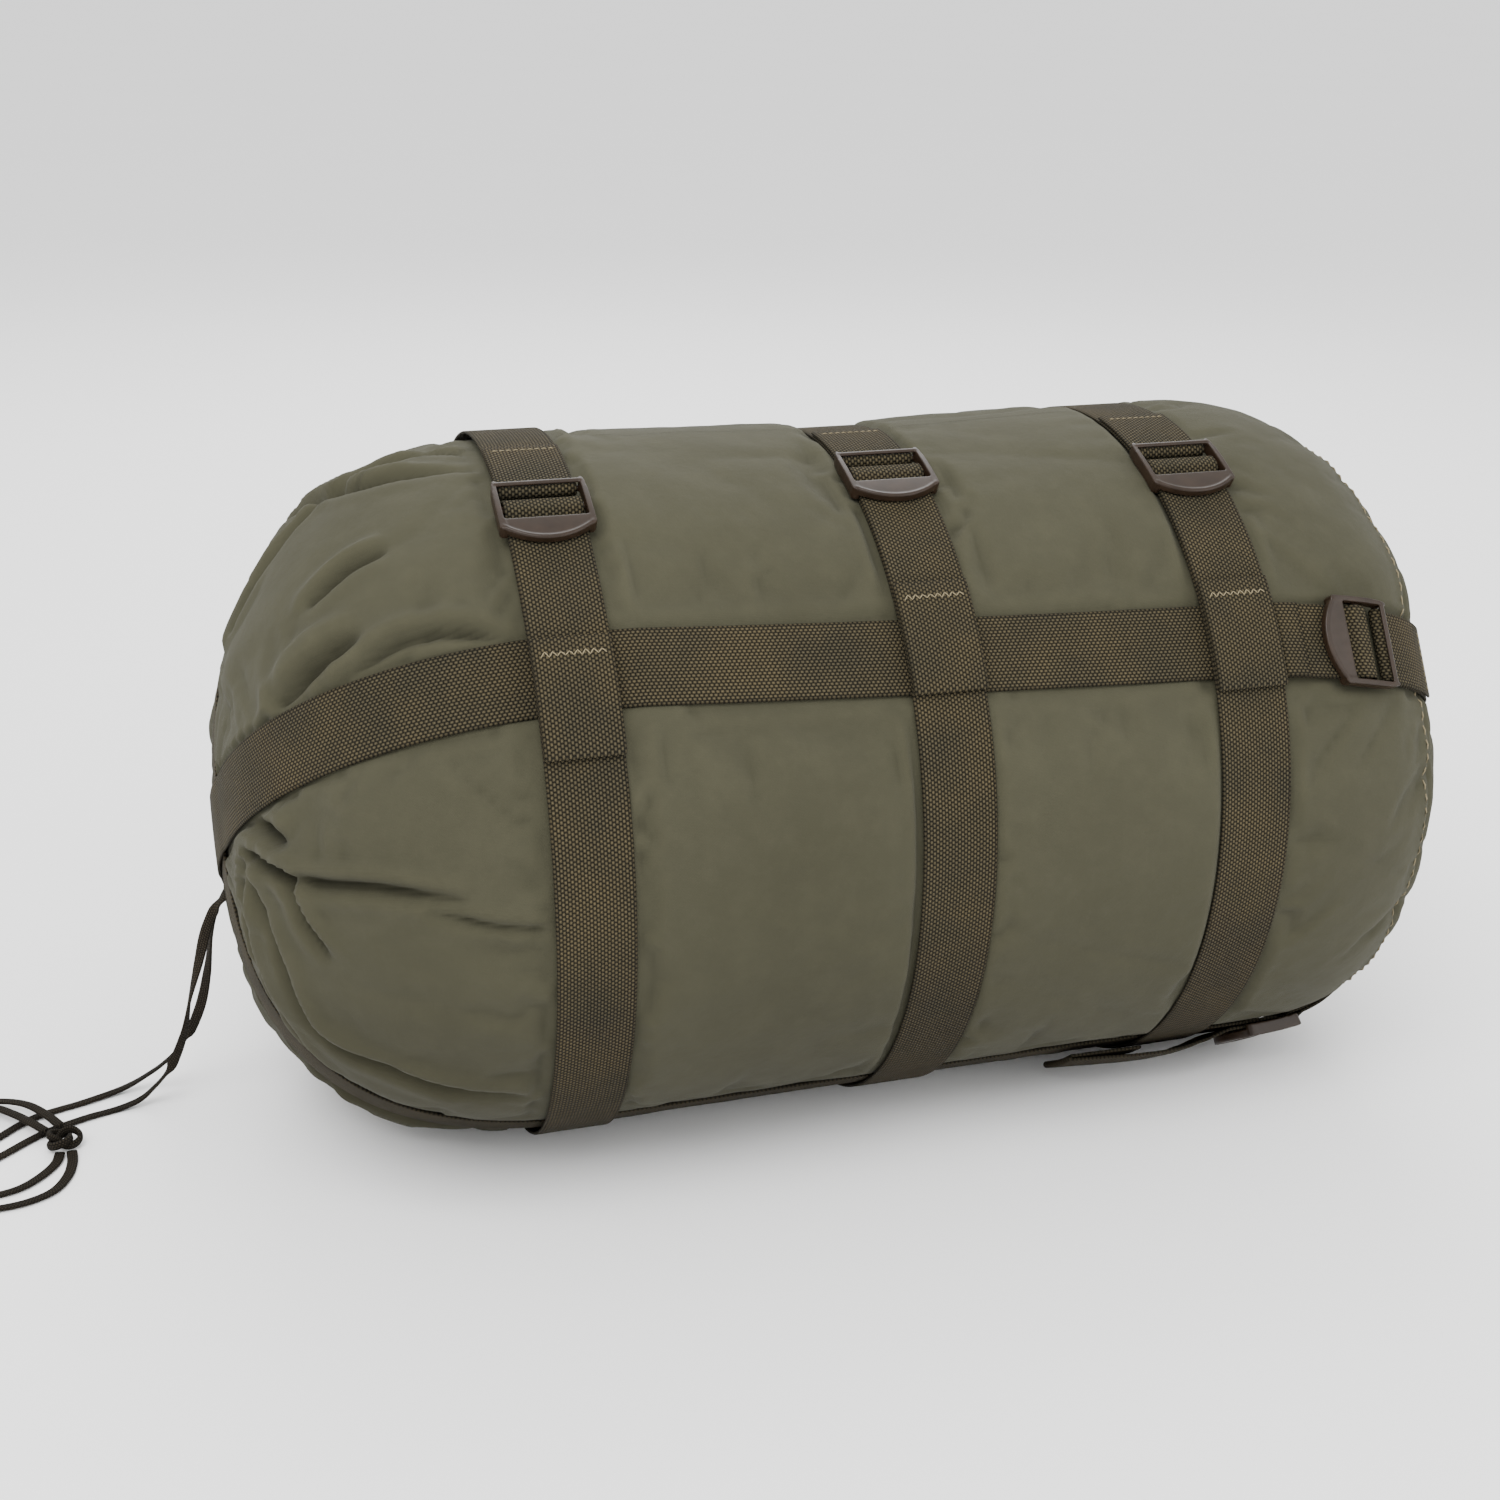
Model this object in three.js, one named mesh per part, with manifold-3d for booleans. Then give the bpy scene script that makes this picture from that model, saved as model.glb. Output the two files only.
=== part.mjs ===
// A compression stuff sack, packed full and lying on its side. Millimetres, +Z up.
// X runs along the sack: the drawstring mouth faces -X and the sewn base faces +X.
// The origin is on the ground under the middle of the sack. Angles about the sack's
// axis are measured from the top (+Z) towards the front (-Y).
import * as THREE from 'three';
import { mergeVertices } from 'three/addons/utils/BufferGeometryUtils.js';
import Module from 'manifold-3d';

const wasm = await Module();
wasm.setup();

// ---- driving dimensions ----
const MOUTH_X = -319;              // the two ends of the sack
const BASE_X = 319;
const MOUTH_DOME_START = -130;     // where each rounded end begins
const BASE_DOME_START = 171;
const MOUTH_ROUNDNESS = 2.6;       // exponents of the rounded ends: 2 is an ellipse
const BASE_ROUNDNESS = 4;
const SEAM_RADIUS = 160;           // round base panel
const SETTLE = 4.8;                // how far the full sack has settled onto the ground
const END_DROOP = 9;               // how far the ends hang below the middle
const WEB_WIDTH = 38;              // 1.5 inch webbing
const WEB_THICKNESS = 1.6;
const LAYER_GAP = 0.3;
const FABRIC = 1.2;
const CORD_DIAMETER = 4;

// the three girth straps: x, fabric radius there, lean of the top and of the front along X,
// and the angle of the buckle's hinge bar
const HOOPS = [
  { x: -156.7, radius: 184, leanTop: -3, leanFront: -6.4, barAngle: 21.3 },
  { x: 18, radius: 180, leanTop: 0, leanFront: -1, barAngle: 14.6 },
  { x: 174.7, radius: 182, leanTop: 0, leanFront: 0, barAngle: 19.5 },
];

// height of each layer above the nominal fabric surface
const SHELL_LEVEL = -4.2;
const FILLING_LEVEL = -10;
const LONG_LEVEL = -3.3;
const HOOP_LEVEL = -0.9;
const GROUND_LEVEL = HOOP_LEVEL + WEB_THICKNESS;   // the hoops' outer face touches the ground
const FILLING_WALL = 12;
const MOUTH_HOLE = 15;

// ladder-lock buckle, along the strap from its hinge bar (s), across (w) and outwards (n)
const LOCK = {
  width: 46, rail: 2.7, back: -3, sideLength: 29, length: 37.7, bottom: 2, top: 9.4,
  barRadius: 1.6, barLevel: 3.6,
  browFrom: 0.6, browTo: 3, browLevel: 7.6,        // thin bar over the sewn loop
  teethFrom: 12.4, teethTo: 17, teethLow: 3.6, teethHigh: 6.2,
  lipFrom: 24.5, lipThickness: 4.6,
};
const LOOP_RAW_END = -46;          // the sewn loop lies over the strap as far back as this
const LOOP_FOOT = -52;
const STRAP_END = 6;               // the strap comes back beneath the lock as far as this
const LOCK_LIFT = 39;              // tail hinge, just beyond the lip
const THREADED_LEVEL = 3.2;        // webbing under the lip
const TAIL_LEVEL = 2.8;
const HOOP_TAIL = 105;             // tails, measured from the lip
const LONG_A_TAIL = 20;
const LONG_B_TAIL = 100;
const SLACK_DROP = 9.5;            // strap B's tail hangs this far to the ground
const HEM = 54;                    // length of the folded end of each tail
const LOCK_REGION = 150;           // stretch of strap that the lock and its tail lie over
const WEB_STEP = 16;               // lengths of the pieces that webbing is bent in
const LONG_STEP = 18;
const FINE_STEP = 9;
const CROSSING_LEVEL = 3.1;        // strap A's height where it passes over strap B
const CROSSING_FLAT = 23;          // it is up for this far each side of the pole, and down beyond the foot
const CROSSING_FOOT = 38;
const HUG_FROM = 54;               // beyond the lock the webbing curves with the sack across its width
const HUG_TO = 61;
const KNOT = { radii: [9.5, 9, 5], middle: [-409, -3, 5.6] };
const HEM_TUBE = { inset: 9.5, radius: 19, thickness: 4 };

// ---- materials ----
const material = (name, color, roughness) =>
  new THREE.MeshStandardMaterial({ name, color, roughness, metalness: 0 });
const fabricCloth = material('sack_cloth', 0x625f4c, 0.85);
const webbing = material('webbing', 0x524c3a, 0.9);
const lockPlastic = material('lock_plastic', 0x40352c, 0.3);
const cordBraid = material('cord_braid', 0x4d483e, 0.85);
const stuffing = material('stuffing', 0x6a6a58, 1);

// ---- shape of the full sack ----
const quadratic = (x, [a, b, c]) =>
  a.radius * ((x - b.x) * (x - c.x)) / ((a.x - b.x) * (a.x - c.x)) +
  b.radius * ((x - a.x) * (x - c.x)) / ((b.x - a.x) * (b.x - c.x)) +
  c.radius * ((x - a.x) * (x - b.x)) / ((c.x - a.x) * (c.x - b.x));
const girth = (x) => quadratic(THREE.MathUtils.clamp(x, MOUTH_DOME_START, BASE_DOME_START), HOOPS);

// how far along a rounded end x is, from 0 where it begins to 1 at its pole
const domeShare = (x) => THREE.MathUtils.clamp(Math.max(
  (MOUTH_DOME_START - x) / (MOUTH_DOME_START - MOUTH_X),
  (x - BASE_DOME_START) / (BASE_X - BASE_DOME_START)), 0, 1);
const domeRoundness = (x) => (x < 0 ? MOUTH_ROUNDNESS : BASE_ROUNDNESS);
const nominalRadius = (x) =>
  girth(x) * (1 - domeShare(x) ** domeRoundness(x)) ** (1 / domeRoundness(x));
const axisHeight = (x) => girth(x) - SETTLE - END_DROOP * domeShare(x) ** 2;

// one side of the outline as (x, radius), from the base pole to the mouth pole
function outlineSide() {
  const points = [];
  for (let a = 0; a <= 90; a += 1.5) {
    const angle = THREE.MathUtils.degToRad(a);
    const along = Math.cos(angle) ** (2 / BASE_ROUNDNESS);
    const out = Math.sin(angle) ** (2 / BASE_ROUNDNESS);
    points.push(new THREE.Vector2(
      BASE_DOME_START + (BASE_X - BASE_DOME_START) * along, girth(BASE_DOME_START) * out));
  }
  for (let x = BASE_DOME_START - 20; x > MOUTH_DOME_START + 10; x -= 20) {
    points.push(new THREE.Vector2(x, girth(x)));
  }
  for (let a = 90; a >= 0; a -= 1.5) {
    const angle = THREE.MathUtils.degToRad(a);
    const along = Math.cos(angle) ** (2 / MOUTH_ROUNDNESS);
    const out = Math.sin(angle) ** (2 / MOUTH_ROUNDNESS);
    points.push(new THREE.Vector2(
      MOUTH_DOME_START + (MOUTH_X - MOUTH_DOME_START) * along, girth(MOUTH_DOME_START) * out));
  }
  return points;
}
const side = outlineSide();
const mirrored = side.slice(1, -1).reverse().map((p) => new THREE.Vector2(p.x, -p.y));
const outline = new THREE.SplineCurve([...side, ...mirrored, side[0].clone()]);
outline.arcLengthDivisions = 2400;
const OUTLINE_LENGTH = outline.getLength();
const MOUTH_AT = OUTLINE_LENGTH / 2;

function outlineFrame(distance) {
  const u = THREE.MathUtils.euclideanModulo(distance / OUTLINE_LENGTH, 1);
  const point = outline.getPointAt(u);
  const tangent = outline.getTangentAt(u);
  return { point, normal: new THREE.Vector2(tangent.y, -tangent.x) };
}

// distance along the outline from the base pole at which a test on its point first holds
function outlineDistance(test) {
  let distance = 0;
  while (!test(outlineFrame(distance).point)) distance += 0.5;
  return distance;
}

// a point at a height above the nominal surface, flattened where the sack meets the ground
const settled = (x, y, z, level) => new THREE.Vector3(x, y, Math.max(z, GROUND_LEVEL - level));

// ---- ways of laying flat pieces on the sack: (s, w, n) to a point ----
function hoopLay(hoop) {
  return (s, w, n) => {
    const angle = THREE.MathUtils.degToRad(hoop.barAngle) + s / hoop.radius;
    const level = HOOP_LEVEL + n;
    const reach = hoop.radius + level;
    const x = hoop.x + hoop.leanTop * Math.cos(angle) + hoop.leanFront * Math.sin(angle) - w;
    const z = hoop.radius - SETTLE + reach * Math.cos(angle);
    return settled(x, -reach * Math.sin(angle), z, level);
  };
}

// angle of each lengthwise strap; strap A swings a little towards the front at the base
const strapAngle = {
  a: (x) => 53.8 + 0.0115 * x + 3e-5 * x * x,
  b: () => 146,
};

function longLay(name, barDistance) {
  return (s, w, n) => {
    const { point, normal } = outlineFrame(barDistance + s);
    const fromBar = Math.abs(s - OUTLINE_LENGTH * Math.round(s / OUTLINE_LENGTH));
    const hug = THREE.MathUtils.smoothstep(fromBar, HUG_FROM, HUG_TO);
    const fall = hug * Math.abs(normal.y) / Math.max(Math.abs(point.y), 8) * w * w / 2;
    const rise = LONG_LEVEL + n - fall;
    const x = point.x + normal.x * rise;
    const reach = point.y + normal.y * rise;
    const angle = THREE.MathUtils.degToRad(strapAngle[name](point.x));
    const y = -reach * Math.sin(angle) + w * Math.cos(angle);
    const z = axisHeight(point.x) + reach * Math.cos(angle) + w * Math.sin(angle);
    return new THREE.Vector3(x, y, z);
  };
}

// ---- geometry helpers ----
function mapVertices(geometry, place) {
  const position = geometry.getAttribute('position');
  for (let i = 0; i < position.count; i++) {
    const p = place(position.getX(i), position.getY(i), position.getZ(i), i);
    position.setXYZ(i, p.x, p.y, p.z);
  }
  geometry.deleteAttribute('uv');
  geometry.computeVertexNormals();
  return geometry;
}

// stations along a strap's centre line, a flat path in (s, n)
function stations(path, step) {
  const points = [];
  for (const curve of path.curves) {
    const round = curve.isLineCurve ? 1 : 6;
    const parts = Math.max(round, Math.ceil(curve.getLength() / step));
    for (let i = points.length ? 1 : 0; i <= parts; i++) points.push(curve.getPoint(i / parts));
  }
  return points;
}

// a strip of webbing: a box bent along its centre line, then laid on the sack
function strip(path, lay, { step = WEB_STEP, across = 1 } = {}) {
  const points = stations(path, step);
  const last = points.length - 1;
  const normals = points.map((p, i) => {
    const before = points[Math.max(i - 1, 0)];
    const after = points[Math.min(i + 1, last)];
    const direction = after.clone().sub(before).normalize();
    const edge = (i < last ? after.clone().sub(p) : p.clone().sub(before)).normalize();
    const stretch = 1 / Math.max(direction.dot(edge), 0.7);
    return new THREE.Vector2(-direction.y, direction.x).multiplyScalar(stretch);
  });
  const box = new THREE.BoxGeometry(last, WEB_THICKNESS, WEB_WIDTH, last, 1, across);
  return mapVertices(box, (i, n, w) => {
    const k = Math.round(i + last / 2);
    return lay(points[k].x + normals[k].x * n, w, points[k].y + normals[k].y * n);
  });
}

function toSolid(geometry) {
  const bare = geometry.clone();
  bare.deleteAttribute('normal');
  bare.deleteAttribute('uv');
  const merged = mergeVertices(bare, 1e-4);
  const vertProperties = new Float32Array(merged.getAttribute('position').array);
  const triVerts = new Uint32Array(merged.index.array);
  return new wasm.Manifold(new wasm.Mesh({ numProp: 3, vertProperties, triVerts }));
}

function toGeometry(solid) {
  const mesh = solid.getMesh();
  const geometry = new THREE.BufferGeometry();
  geometry.setAttribute('position', new THREE.BufferAttribute(mesh.vertProperties, 3));
  geometry.setIndex(new THREE.BufferAttribute(mesh.triVerts, 1));
  return geometry;
}

const join = (...geometries) =>
  toGeometry(geometries.map(toSolid).reduce((whole, part) => whole.add(part)));

// a closed profile of (x, radius) points turned about the sack's axis
function turned(profile, segments = 32) {
  const closed = [...profile, profile[0]].map((p) => new THREE.Vector2(p.y, p.x));
  const lathe = new THREE.LatheGeometry(closed, segments);
  return mapVertices(lathe, (y, x, z) => {
    const level = Math.hypot(y, z) - nominalRadius(x);
    return settled(x, y, z + axisHeight(x), level);
  });
}

// points of the outline at a height above it, between two distances from the base pole
function outlineRun(from, to, level, step) {
  const points = [];
  const parts = Math.ceil(Math.abs(to - from) / step);
  for (let i = 0; i <= parts; i++) {
    const { point, normal } = outlineFrame(THREE.MathUtils.lerp(from, to, i / parts));
    points.push(point.addScaledVector(normal, level));
  }
  return points;
}

// ---- the sack ----
const seamAt = outlineDistance((p) => p.y >= SEAM_RADIUS);
const rimAt = MOUTH_AT - 44;       // edge of the gathered hollow at the mouth
const point = (x, radius) => new THREE.Vector2(x, radius);

function barrel() {
  const hollow = [point(MOUTH_X + 13, 33), point(MOUTH_X + 19, MOUTH_HOLE)];
  const lining = [point(MOUTH_X + 20.4, MOUTH_HOLE), point(MOUTH_X + 14.3, 33.6)];
  const outer = outlineRun(seamAt + 1, rimAt, SHELL_LEVEL, 32);
  const inner = outlineRun(rimAt, seamAt + 1, SHELL_LEVEL - FABRIC, 32);
  return turned([...outer, ...hollow, ...lining, ...inner]);
}

function basePanel() {
  const outer = outlineRun(0, seamAt - 1, SHELL_LEVEL, 24);
  const inner = outlineRun(seamAt - 1, 0, SHELL_LEVEL - FABRIC, 24);
  outer[0].y = 0;
  inner[inner.length - 1].y = 0;
  return turned([...outer, ...inner]);
}

function filling() {
  const mouthEdge = MOUTH_AT - 58;
  const outer = outlineRun(0, mouthEdge, FILLING_LEVEL, 45);
  const inner = outlineRun(mouthEdge, 0, FILLING_LEVEL - FILLING_WALL, 45);
  outer[0].y = 0;
  inner[inner.length - 1].y = 0;
  return turned([...outer, ...inner], 24);
}

// gathered channel round the mouth that the drawcord runs in
function mouthHem() {
  const { inset, radius, thickness } = HEM_TUBE;
  const ring = [];
  for (let i = 0; i < 8; i++) {
    const angle = i / 8 * 2 * Math.PI;
    ring.push(point(MOUTH_X + inset + thickness * Math.cos(angle), radius + thickness * Math.sin(angle)));
  }
  return turned(ring, 24);
}

// ---- ladder-lock buckle ----
function lockBody() {
  const inside = LOCK.width / 2 - LOCK.rail;
  const solids = [];
  const block = (s0, s1, n0, n1, w0, w1) => {
    const box = new THREE.BoxGeometry(s1 - s0, n1 - n0, w1 - w0);
    box.translate((s0 + s1) / 2, (n0 + n1) / 2, (w0 + w1) / 2);
    solids.push(box);
  };
  for (const hand of [-1, 1]) {
    const [w0, w1] = [inside * hand, LOCK.width / 2 * hand].sort((a, b) => a - b);
    block(LOCK.back, LOCK.sideLength, LOCK.bottom, LOCK.top, w0, w1);
  }
  const grip = inside + 1;
  const bar = new THREE.CylinderGeometry(LOCK.barRadius, LOCK.barRadius, 2 * grip, 12);
  solids.push(bar.rotateX(Math.PI / 2).translate(0, LOCK.barLevel, 0));
  block(LOCK.browFrom, LOCK.browTo, LOCK.browLevel, LOCK.top, -grip, grip);
  block(LOCK.teethFrom, LOCK.teethTo, LOCK.teethLow, LOCK.teethHigh, -grip, grip);

  const lip = new THREE.Shape();
  const bulge = LOCK.length - LOCK.sideLength;
  const half = LOCK.width / 2;
  const arcRadius = (half * half + bulge * bulge) / (2 * bulge);
  const arcAngle = Math.asin(half / arcRadius);
  lip.moveTo(LOCK.lipFrom, -half);
  lip.lineTo(LOCK.sideLength, -half);
  lip.absarc(LOCK.length - arcRadius, 0, arcRadius, -arcAngle, arcAngle, false);
  lip.lineTo(LOCK.lipFrom, half);
  const plate = new THREE.ExtrudeGeometry(
    lip, { depth: LOCK.lipThickness, curveSegments: 12, bevelEnabled: false });
  solids.push(plate.rotateX(-Math.PI / 2).translate(0, LOCK.top - LOCK.lipThickness, 0));
  return join(...solids);
}
const lockShape = lockBody();

// ---- webbing paths, as flat centre lines in (s, n) ----
const HALF_WEB = WEB_THICKNESS / 2;
const FOLD_RADIUS = (WEB_THICKNESS + LAYER_GAP) / 2;

// a straight run in short steps, so that it bends with the layers beside it
function runTo(path, s, n) {
  const from = path.currentPoint.x;
  const parts = Math.ceil(Math.abs(s - from) / FINE_STEP);
  for (let i = 1; i <= parts; i++) path.lineTo(THREE.MathUtils.lerp(from, s, i / parts), n);
}

// sewn loop round the hinge bar, from the raw end over the bar and back under it
function loopPath() {
  const loopRadius = LOCK.barRadius + LAYER_GAP + 0.05 + HALF_WEB;
  const leave = THREE.MathUtils.degToRad(135);
  const top = new THREE.Vector2(
    loopRadius * Math.cos(leave), LOCK.barLevel + loopRadius * Math.sin(leave));
  const path = new THREE.Path();
  path.moveTo(LOOP_RAW_END, TAIL_LEVEL);
  runTo(path, top.x - (top.y - TAIL_LEVEL) - 1, TAIL_LEVEL);
  path.lineTo(top.x, top.y);
  path.absarc(0, LOCK.barLevel, loopRadius, leave, -Math.PI / 2, true);
  runTo(path, LOOP_FOOT, HALF_WEB);
  return path;
}

// webbing from beneath the lock, up over the toothed bar and down under the lip
function wrapPath() {
  const path = new THREE.Path();
  path.moveTo(9, 3);
  path.lineTo(10.4, 6);
  path.lineTo(12, 7.35);
  path.lineTo(17, 7.35);
  path.lineTo(18.8, 6.4);
  path.lineTo(20.6, 4.3);
  path.lineTo(23.5, THREADED_LEVEL);
  path.lineTo(LOCK_LIFT - 1.1, THREADED_LEVEL);
  return path;
}

// flat tail with its end folded back over itself and sewn
function tailPath(length) {
  const end = LOCK.length + length;
  const path = new THREE.Path();
  path.moveTo(LOCK_LIFT - 0.8, THREADED_LEVEL);
  path.lineTo(LOCK_LIFT + 7, TAIL_LEVEL);
  runTo(path, end - FOLD_RADIUS, TAIL_LEVEL);
  path.absarc(end - FOLD_RADIUS, TAIL_LEVEL + FOLD_RADIUS, FOLD_RADIUS, -Math.PI / 2, Math.PI / 2, false);
  runTo(path, Math.max(end - HEM, LOCK_LIFT + 8), TAIL_LEVEL + 2 * FOLD_RADIUS);
  return path;
}

// the tail that hangs under the sack: it drops to the ground and lies back up
function slackTailPath(length) {
  const end = LOCK.length + length;
  const lowest = THREADED_LEVEL + SLACK_DROP;
  const fold = lowest - 4;           // level of the webbing where it turns back
  const path = new THREE.Path();
  path.moveTo(LOCK_LIFT - 0.3, THREADED_LEVEL + 0.2);
  path.lineTo(LOCK_LIFT + 2, THREADED_LEVEL + 0.4);
  path.lineTo(LOCK_LIFT + 34, lowest);
  path.lineTo(end - FOLD_RADIUS, fold);
  path.absarc(end - FOLD_RADIUS, fold - FOLD_RADIUS, FOLD_RADIUS, Math.PI / 2, -Math.PI / 2, true);
  path.lineTo(end - HEM + 12, fold + 0.5 - 2 * FOLD_RADIUS);
  return path;
}

// ---- scene graph ----
const sack = new THREE.Group();
function add(name, geometry, finish) {
  const mesh = new THREE.Mesh(geometry, finish);
  mesh.name = name;
  sack.add(mesh);
}

add('filling', filling(), stuffing);
add('sack_barrel', barrel(), fabricCloth);
add('base_panel', basePanel(), fabricCloth);
add('mouth_hem', mouthHem(), fabricCloth);

// a strap's buckle, the webbing wrapped through it and the loose tail
function addLock(prefix, lay, tail, across = 1) {
  const place = (s, n, w) => lay(s, w, n);
  add(`${prefix}_buckle`, mapVertices(lockShape.clone(), place), lockPlastic);
  add(`${prefix}_wrap`, strip(wrapPath(), lay), webbing);
  add(`${prefix}_tail`, strip(tail, lay, { across }), webbing);
}

HOOPS.forEach((hoop, i) => {
  const lay = hoopLay(hoop);
  const path = loopPath();
  const turn = 2 * Math.PI * hoop.radius;
  path.lineTo(LOCK_REGION - turn, HALF_WEB);
  runTo(path, STRAP_END - turn, HALF_WEB);
  add(`hoop_${i + 1}_strap`, strip(path, lay), webbing);
  addLock(`hoop_${i + 1}`, lay, tailPath(HOOP_TAIL));
});

// lengthwise straps: each runs right round the sack under the hoops, crossing at both ends
const LONG_BARS = { a: 256, b: 252 };
for (const [name, barX] of Object.entries(LONG_BARS)) {
  const bar = outlineDistance((p) => p.x <= barX);
  const lay = longLay(name, bar);
  const path = loopPath();
  const level = name === 'a' ? CROSSING_LEVEL : HALF_WEB;
  for (const pole of [-bar, MOUTH_AT - OUTLINE_LENGTH - bar]) {
    path.lineTo(pole + CROSSING_FOOT, HALF_WEB);
    path.lineTo(pole + CROSSING_FLAT, level);
    path.lineTo(pole - CROSSING_FLAT, level);
    path.lineTo(pole - CROSSING_FOOT, HALF_WEB);
  }
  path.lineTo(LOCK_REGION - OUTLINE_LENGTH, HALF_WEB);
  runTo(path, STRAP_END - OUTLINE_LENGTH, HALF_WEB);
  add(`long_${name}_strap`, strip(path, lay, { step: LONG_STEP, across: 2 }), webbing);
  const tail = name === 'a' ? tailPath(LONG_A_TAIL) : slackTailPath(LONG_B_TAIL);
  addLock(`long_${name}`, lay, tail, 2);
}

// ---- drawcord, from the gathered mouth down to the ground and back to its knot ----
const CORD_ROUTES = {
  drawcord_front: [
    [-310.4, 1.5, 144.5], [-311.8, 2.5, 138], [-314.8, 3.5, 131.5], [-320.5, 5, 125], [-326.5, 8, 112],
    [-332, 13, 90], [-338, 15, 68], [-343, 20, 44], [-352, 25, 22], [-365, 29, 7], [-378, 28, 2.6],
    [-398, 22, 2.4], [-419, 12, 2.4], [-441, -6, 2.4], [-462, -22, 2.4], [-486, -24, 2.4],
    [-504, -8, 2.4], [-510, 18, 2.4], [-500, 42, 2.4], [-480, 56, 2.4], [-458, 55, 2.8],
    [-440, 46, 6], [-427, 36, 7.2], [-417, 22, 7.2], [-410, 9, 6.8],
  ],
  drawcord_back: [
    [-310.4, 7.5, 145], [-312.4, 8.5, 138.5], [-315.3, 10, 131.5], [-319.5, 14, 121], [-324, 20, 102],
    [-327.5, 25, 78], [-333, 30, 54], [-343, 37, 31], [-358, 43, 14], [-376, 47, 4], [-397, 40, 2.4],
    [-424, 30, 2.4], [-443, 13, 2.4], [-462, -4, 2.4], [-480, -8, 2.4], [-494, 2, 2.4],
    [-497, 20, 2.4], [-488, 36, 2.4], [-474, 45, 2.4], [-458, 45, 3], [-446, 40, 6.6],
    [-435, 29, 7.2], [-425, 16, 7.2], [-417.5, 5.5, 6.8],
  ],
  drawcord_end_upper: [
    [-411, -12, 3], [-413, -20, 2.4], [-421, -32, 2.4], [-432, -41, 2.4], [-446, -44, 2.4], [-462, -40, 2.4],
  ],
  drawcord_end_lower: [
    [-405, -12, 3], [-405, -22, 2.4], [-408, -36, 2.4], [-415, -48, 2.4], [-428, -55, 2.4], [-444, -57, 2.4],
    [-460, -57, 2.4],
  ],
};

function cordTube(points) {
  const curve = new THREE.CatmullRomCurve3(points.map((p) => new THREE.Vector3(...p)), false, 'centripetal');
  const section = new THREE.Shape();
  section.absarc(0, 0, CORD_DIAMETER / 2, 0, 2 * Math.PI, false);
  const steps = Math.ceil(curve.getLength() / 15);
  return new THREE.ExtrudeGeometry(section, { steps, curveSegments: 4, extrudePath: curve });
}
for (const [name, points] of Object.entries(CORD_ROUTES)) add(name, cordTube(points), cordBraid);

function cordKnot() {
  const knot = new THREE.SphereGeometry(1, 12, 8);
  return knot.scale(...KNOT.radii).translate(...KNOT.middle);
}
add('drawcord_knot', cordKnot(), cordBraid);

export default sack;
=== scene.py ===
"""A full compression stuff sack lying on a pale floor: folded fabric, webbing, ladder-locks and drawcord.

Shapes are worked out in millimetres, as in part.mjs, and become metres when a mesh is made.
A strap's own coordinates are s along it from its lock's hinge bar, w across it and n outwards.
"""

import math

import bpy
import numpy as np
from mathutils import Matrix, Vector, noise


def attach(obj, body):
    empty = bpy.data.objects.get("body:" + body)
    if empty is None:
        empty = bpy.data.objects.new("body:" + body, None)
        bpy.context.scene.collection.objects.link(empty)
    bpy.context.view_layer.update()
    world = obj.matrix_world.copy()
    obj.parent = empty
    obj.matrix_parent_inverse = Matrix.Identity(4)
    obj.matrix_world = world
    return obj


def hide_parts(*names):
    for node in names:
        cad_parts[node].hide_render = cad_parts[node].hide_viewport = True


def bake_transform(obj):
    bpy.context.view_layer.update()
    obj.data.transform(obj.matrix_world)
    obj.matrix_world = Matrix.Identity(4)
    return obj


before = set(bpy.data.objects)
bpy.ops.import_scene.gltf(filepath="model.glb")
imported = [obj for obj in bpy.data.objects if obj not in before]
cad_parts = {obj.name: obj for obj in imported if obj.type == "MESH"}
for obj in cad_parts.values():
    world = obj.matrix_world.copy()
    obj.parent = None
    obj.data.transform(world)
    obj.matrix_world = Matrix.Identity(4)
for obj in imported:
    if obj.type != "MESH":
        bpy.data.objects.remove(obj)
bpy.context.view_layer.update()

MM = 0.001

# ---- camera, where the photographer stood ----
CAMERA_AT = Vector((-0.3714, -1.0616, 0.6063))
CAMERA_TARGET = Vector((-0.0323, 0.0, 0.1836))
CAMERA_ROLL = math.radians(0.768)
CAMERA_LENS = 52.36


def make_camera():
    data = bpy.data.cameras.new("camera")
    data.lens = CAMERA_LENS
    data.sensor_width = 36
    camera = bpy.data.objects.new("camera", data)
    bpy.context.collection.objects.link(camera)
    aim = (CAMERA_TARGET - CAMERA_AT).to_track_quat("-Z", "Y").to_matrix().to_4x4()
    camera.matrix_world = Matrix.Translation(CAMERA_AT) @ aim @ Matrix.Rotation(CAMERA_ROLL, 4, "Z")
    bpy.context.scene.camera = camera


make_camera()

# ---- dimensions shared with the CAD model, in mm ----
MOUTH_X, BASE_X = -319, 319
MOUTH_DOME_START, BASE_DOME_START = -130, 171
MOUTH_ROUNDNESS, BASE_ROUNDNESS = 2.6, 4
SEAM_RADIUS = 160
SETTLE = 4.8
END_DROOP = 9
WEB_WIDTH, WEB_THICKNESS = 38, 1.6
HALF_WEB = WEB_THICKNESS / 2
LONG_LEVEL, HOOP_LEVEL = -3.3, -0.9
GROUND_LEVEL = HOOP_LEVEL + WEB_THICKNESS
HUG_FROM_BAR = 54, 61                # a lengthwise strap follows the sack's curve past this distance
CROSSING_LEVEL = 3.1
TAIL_LEVEL = 2.8
LOCK_LENGTH = 37.7
LOCK_LIFT = 39
BAR_RADIUS, BAR_LEVEL = 1.6, 3.6
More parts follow.
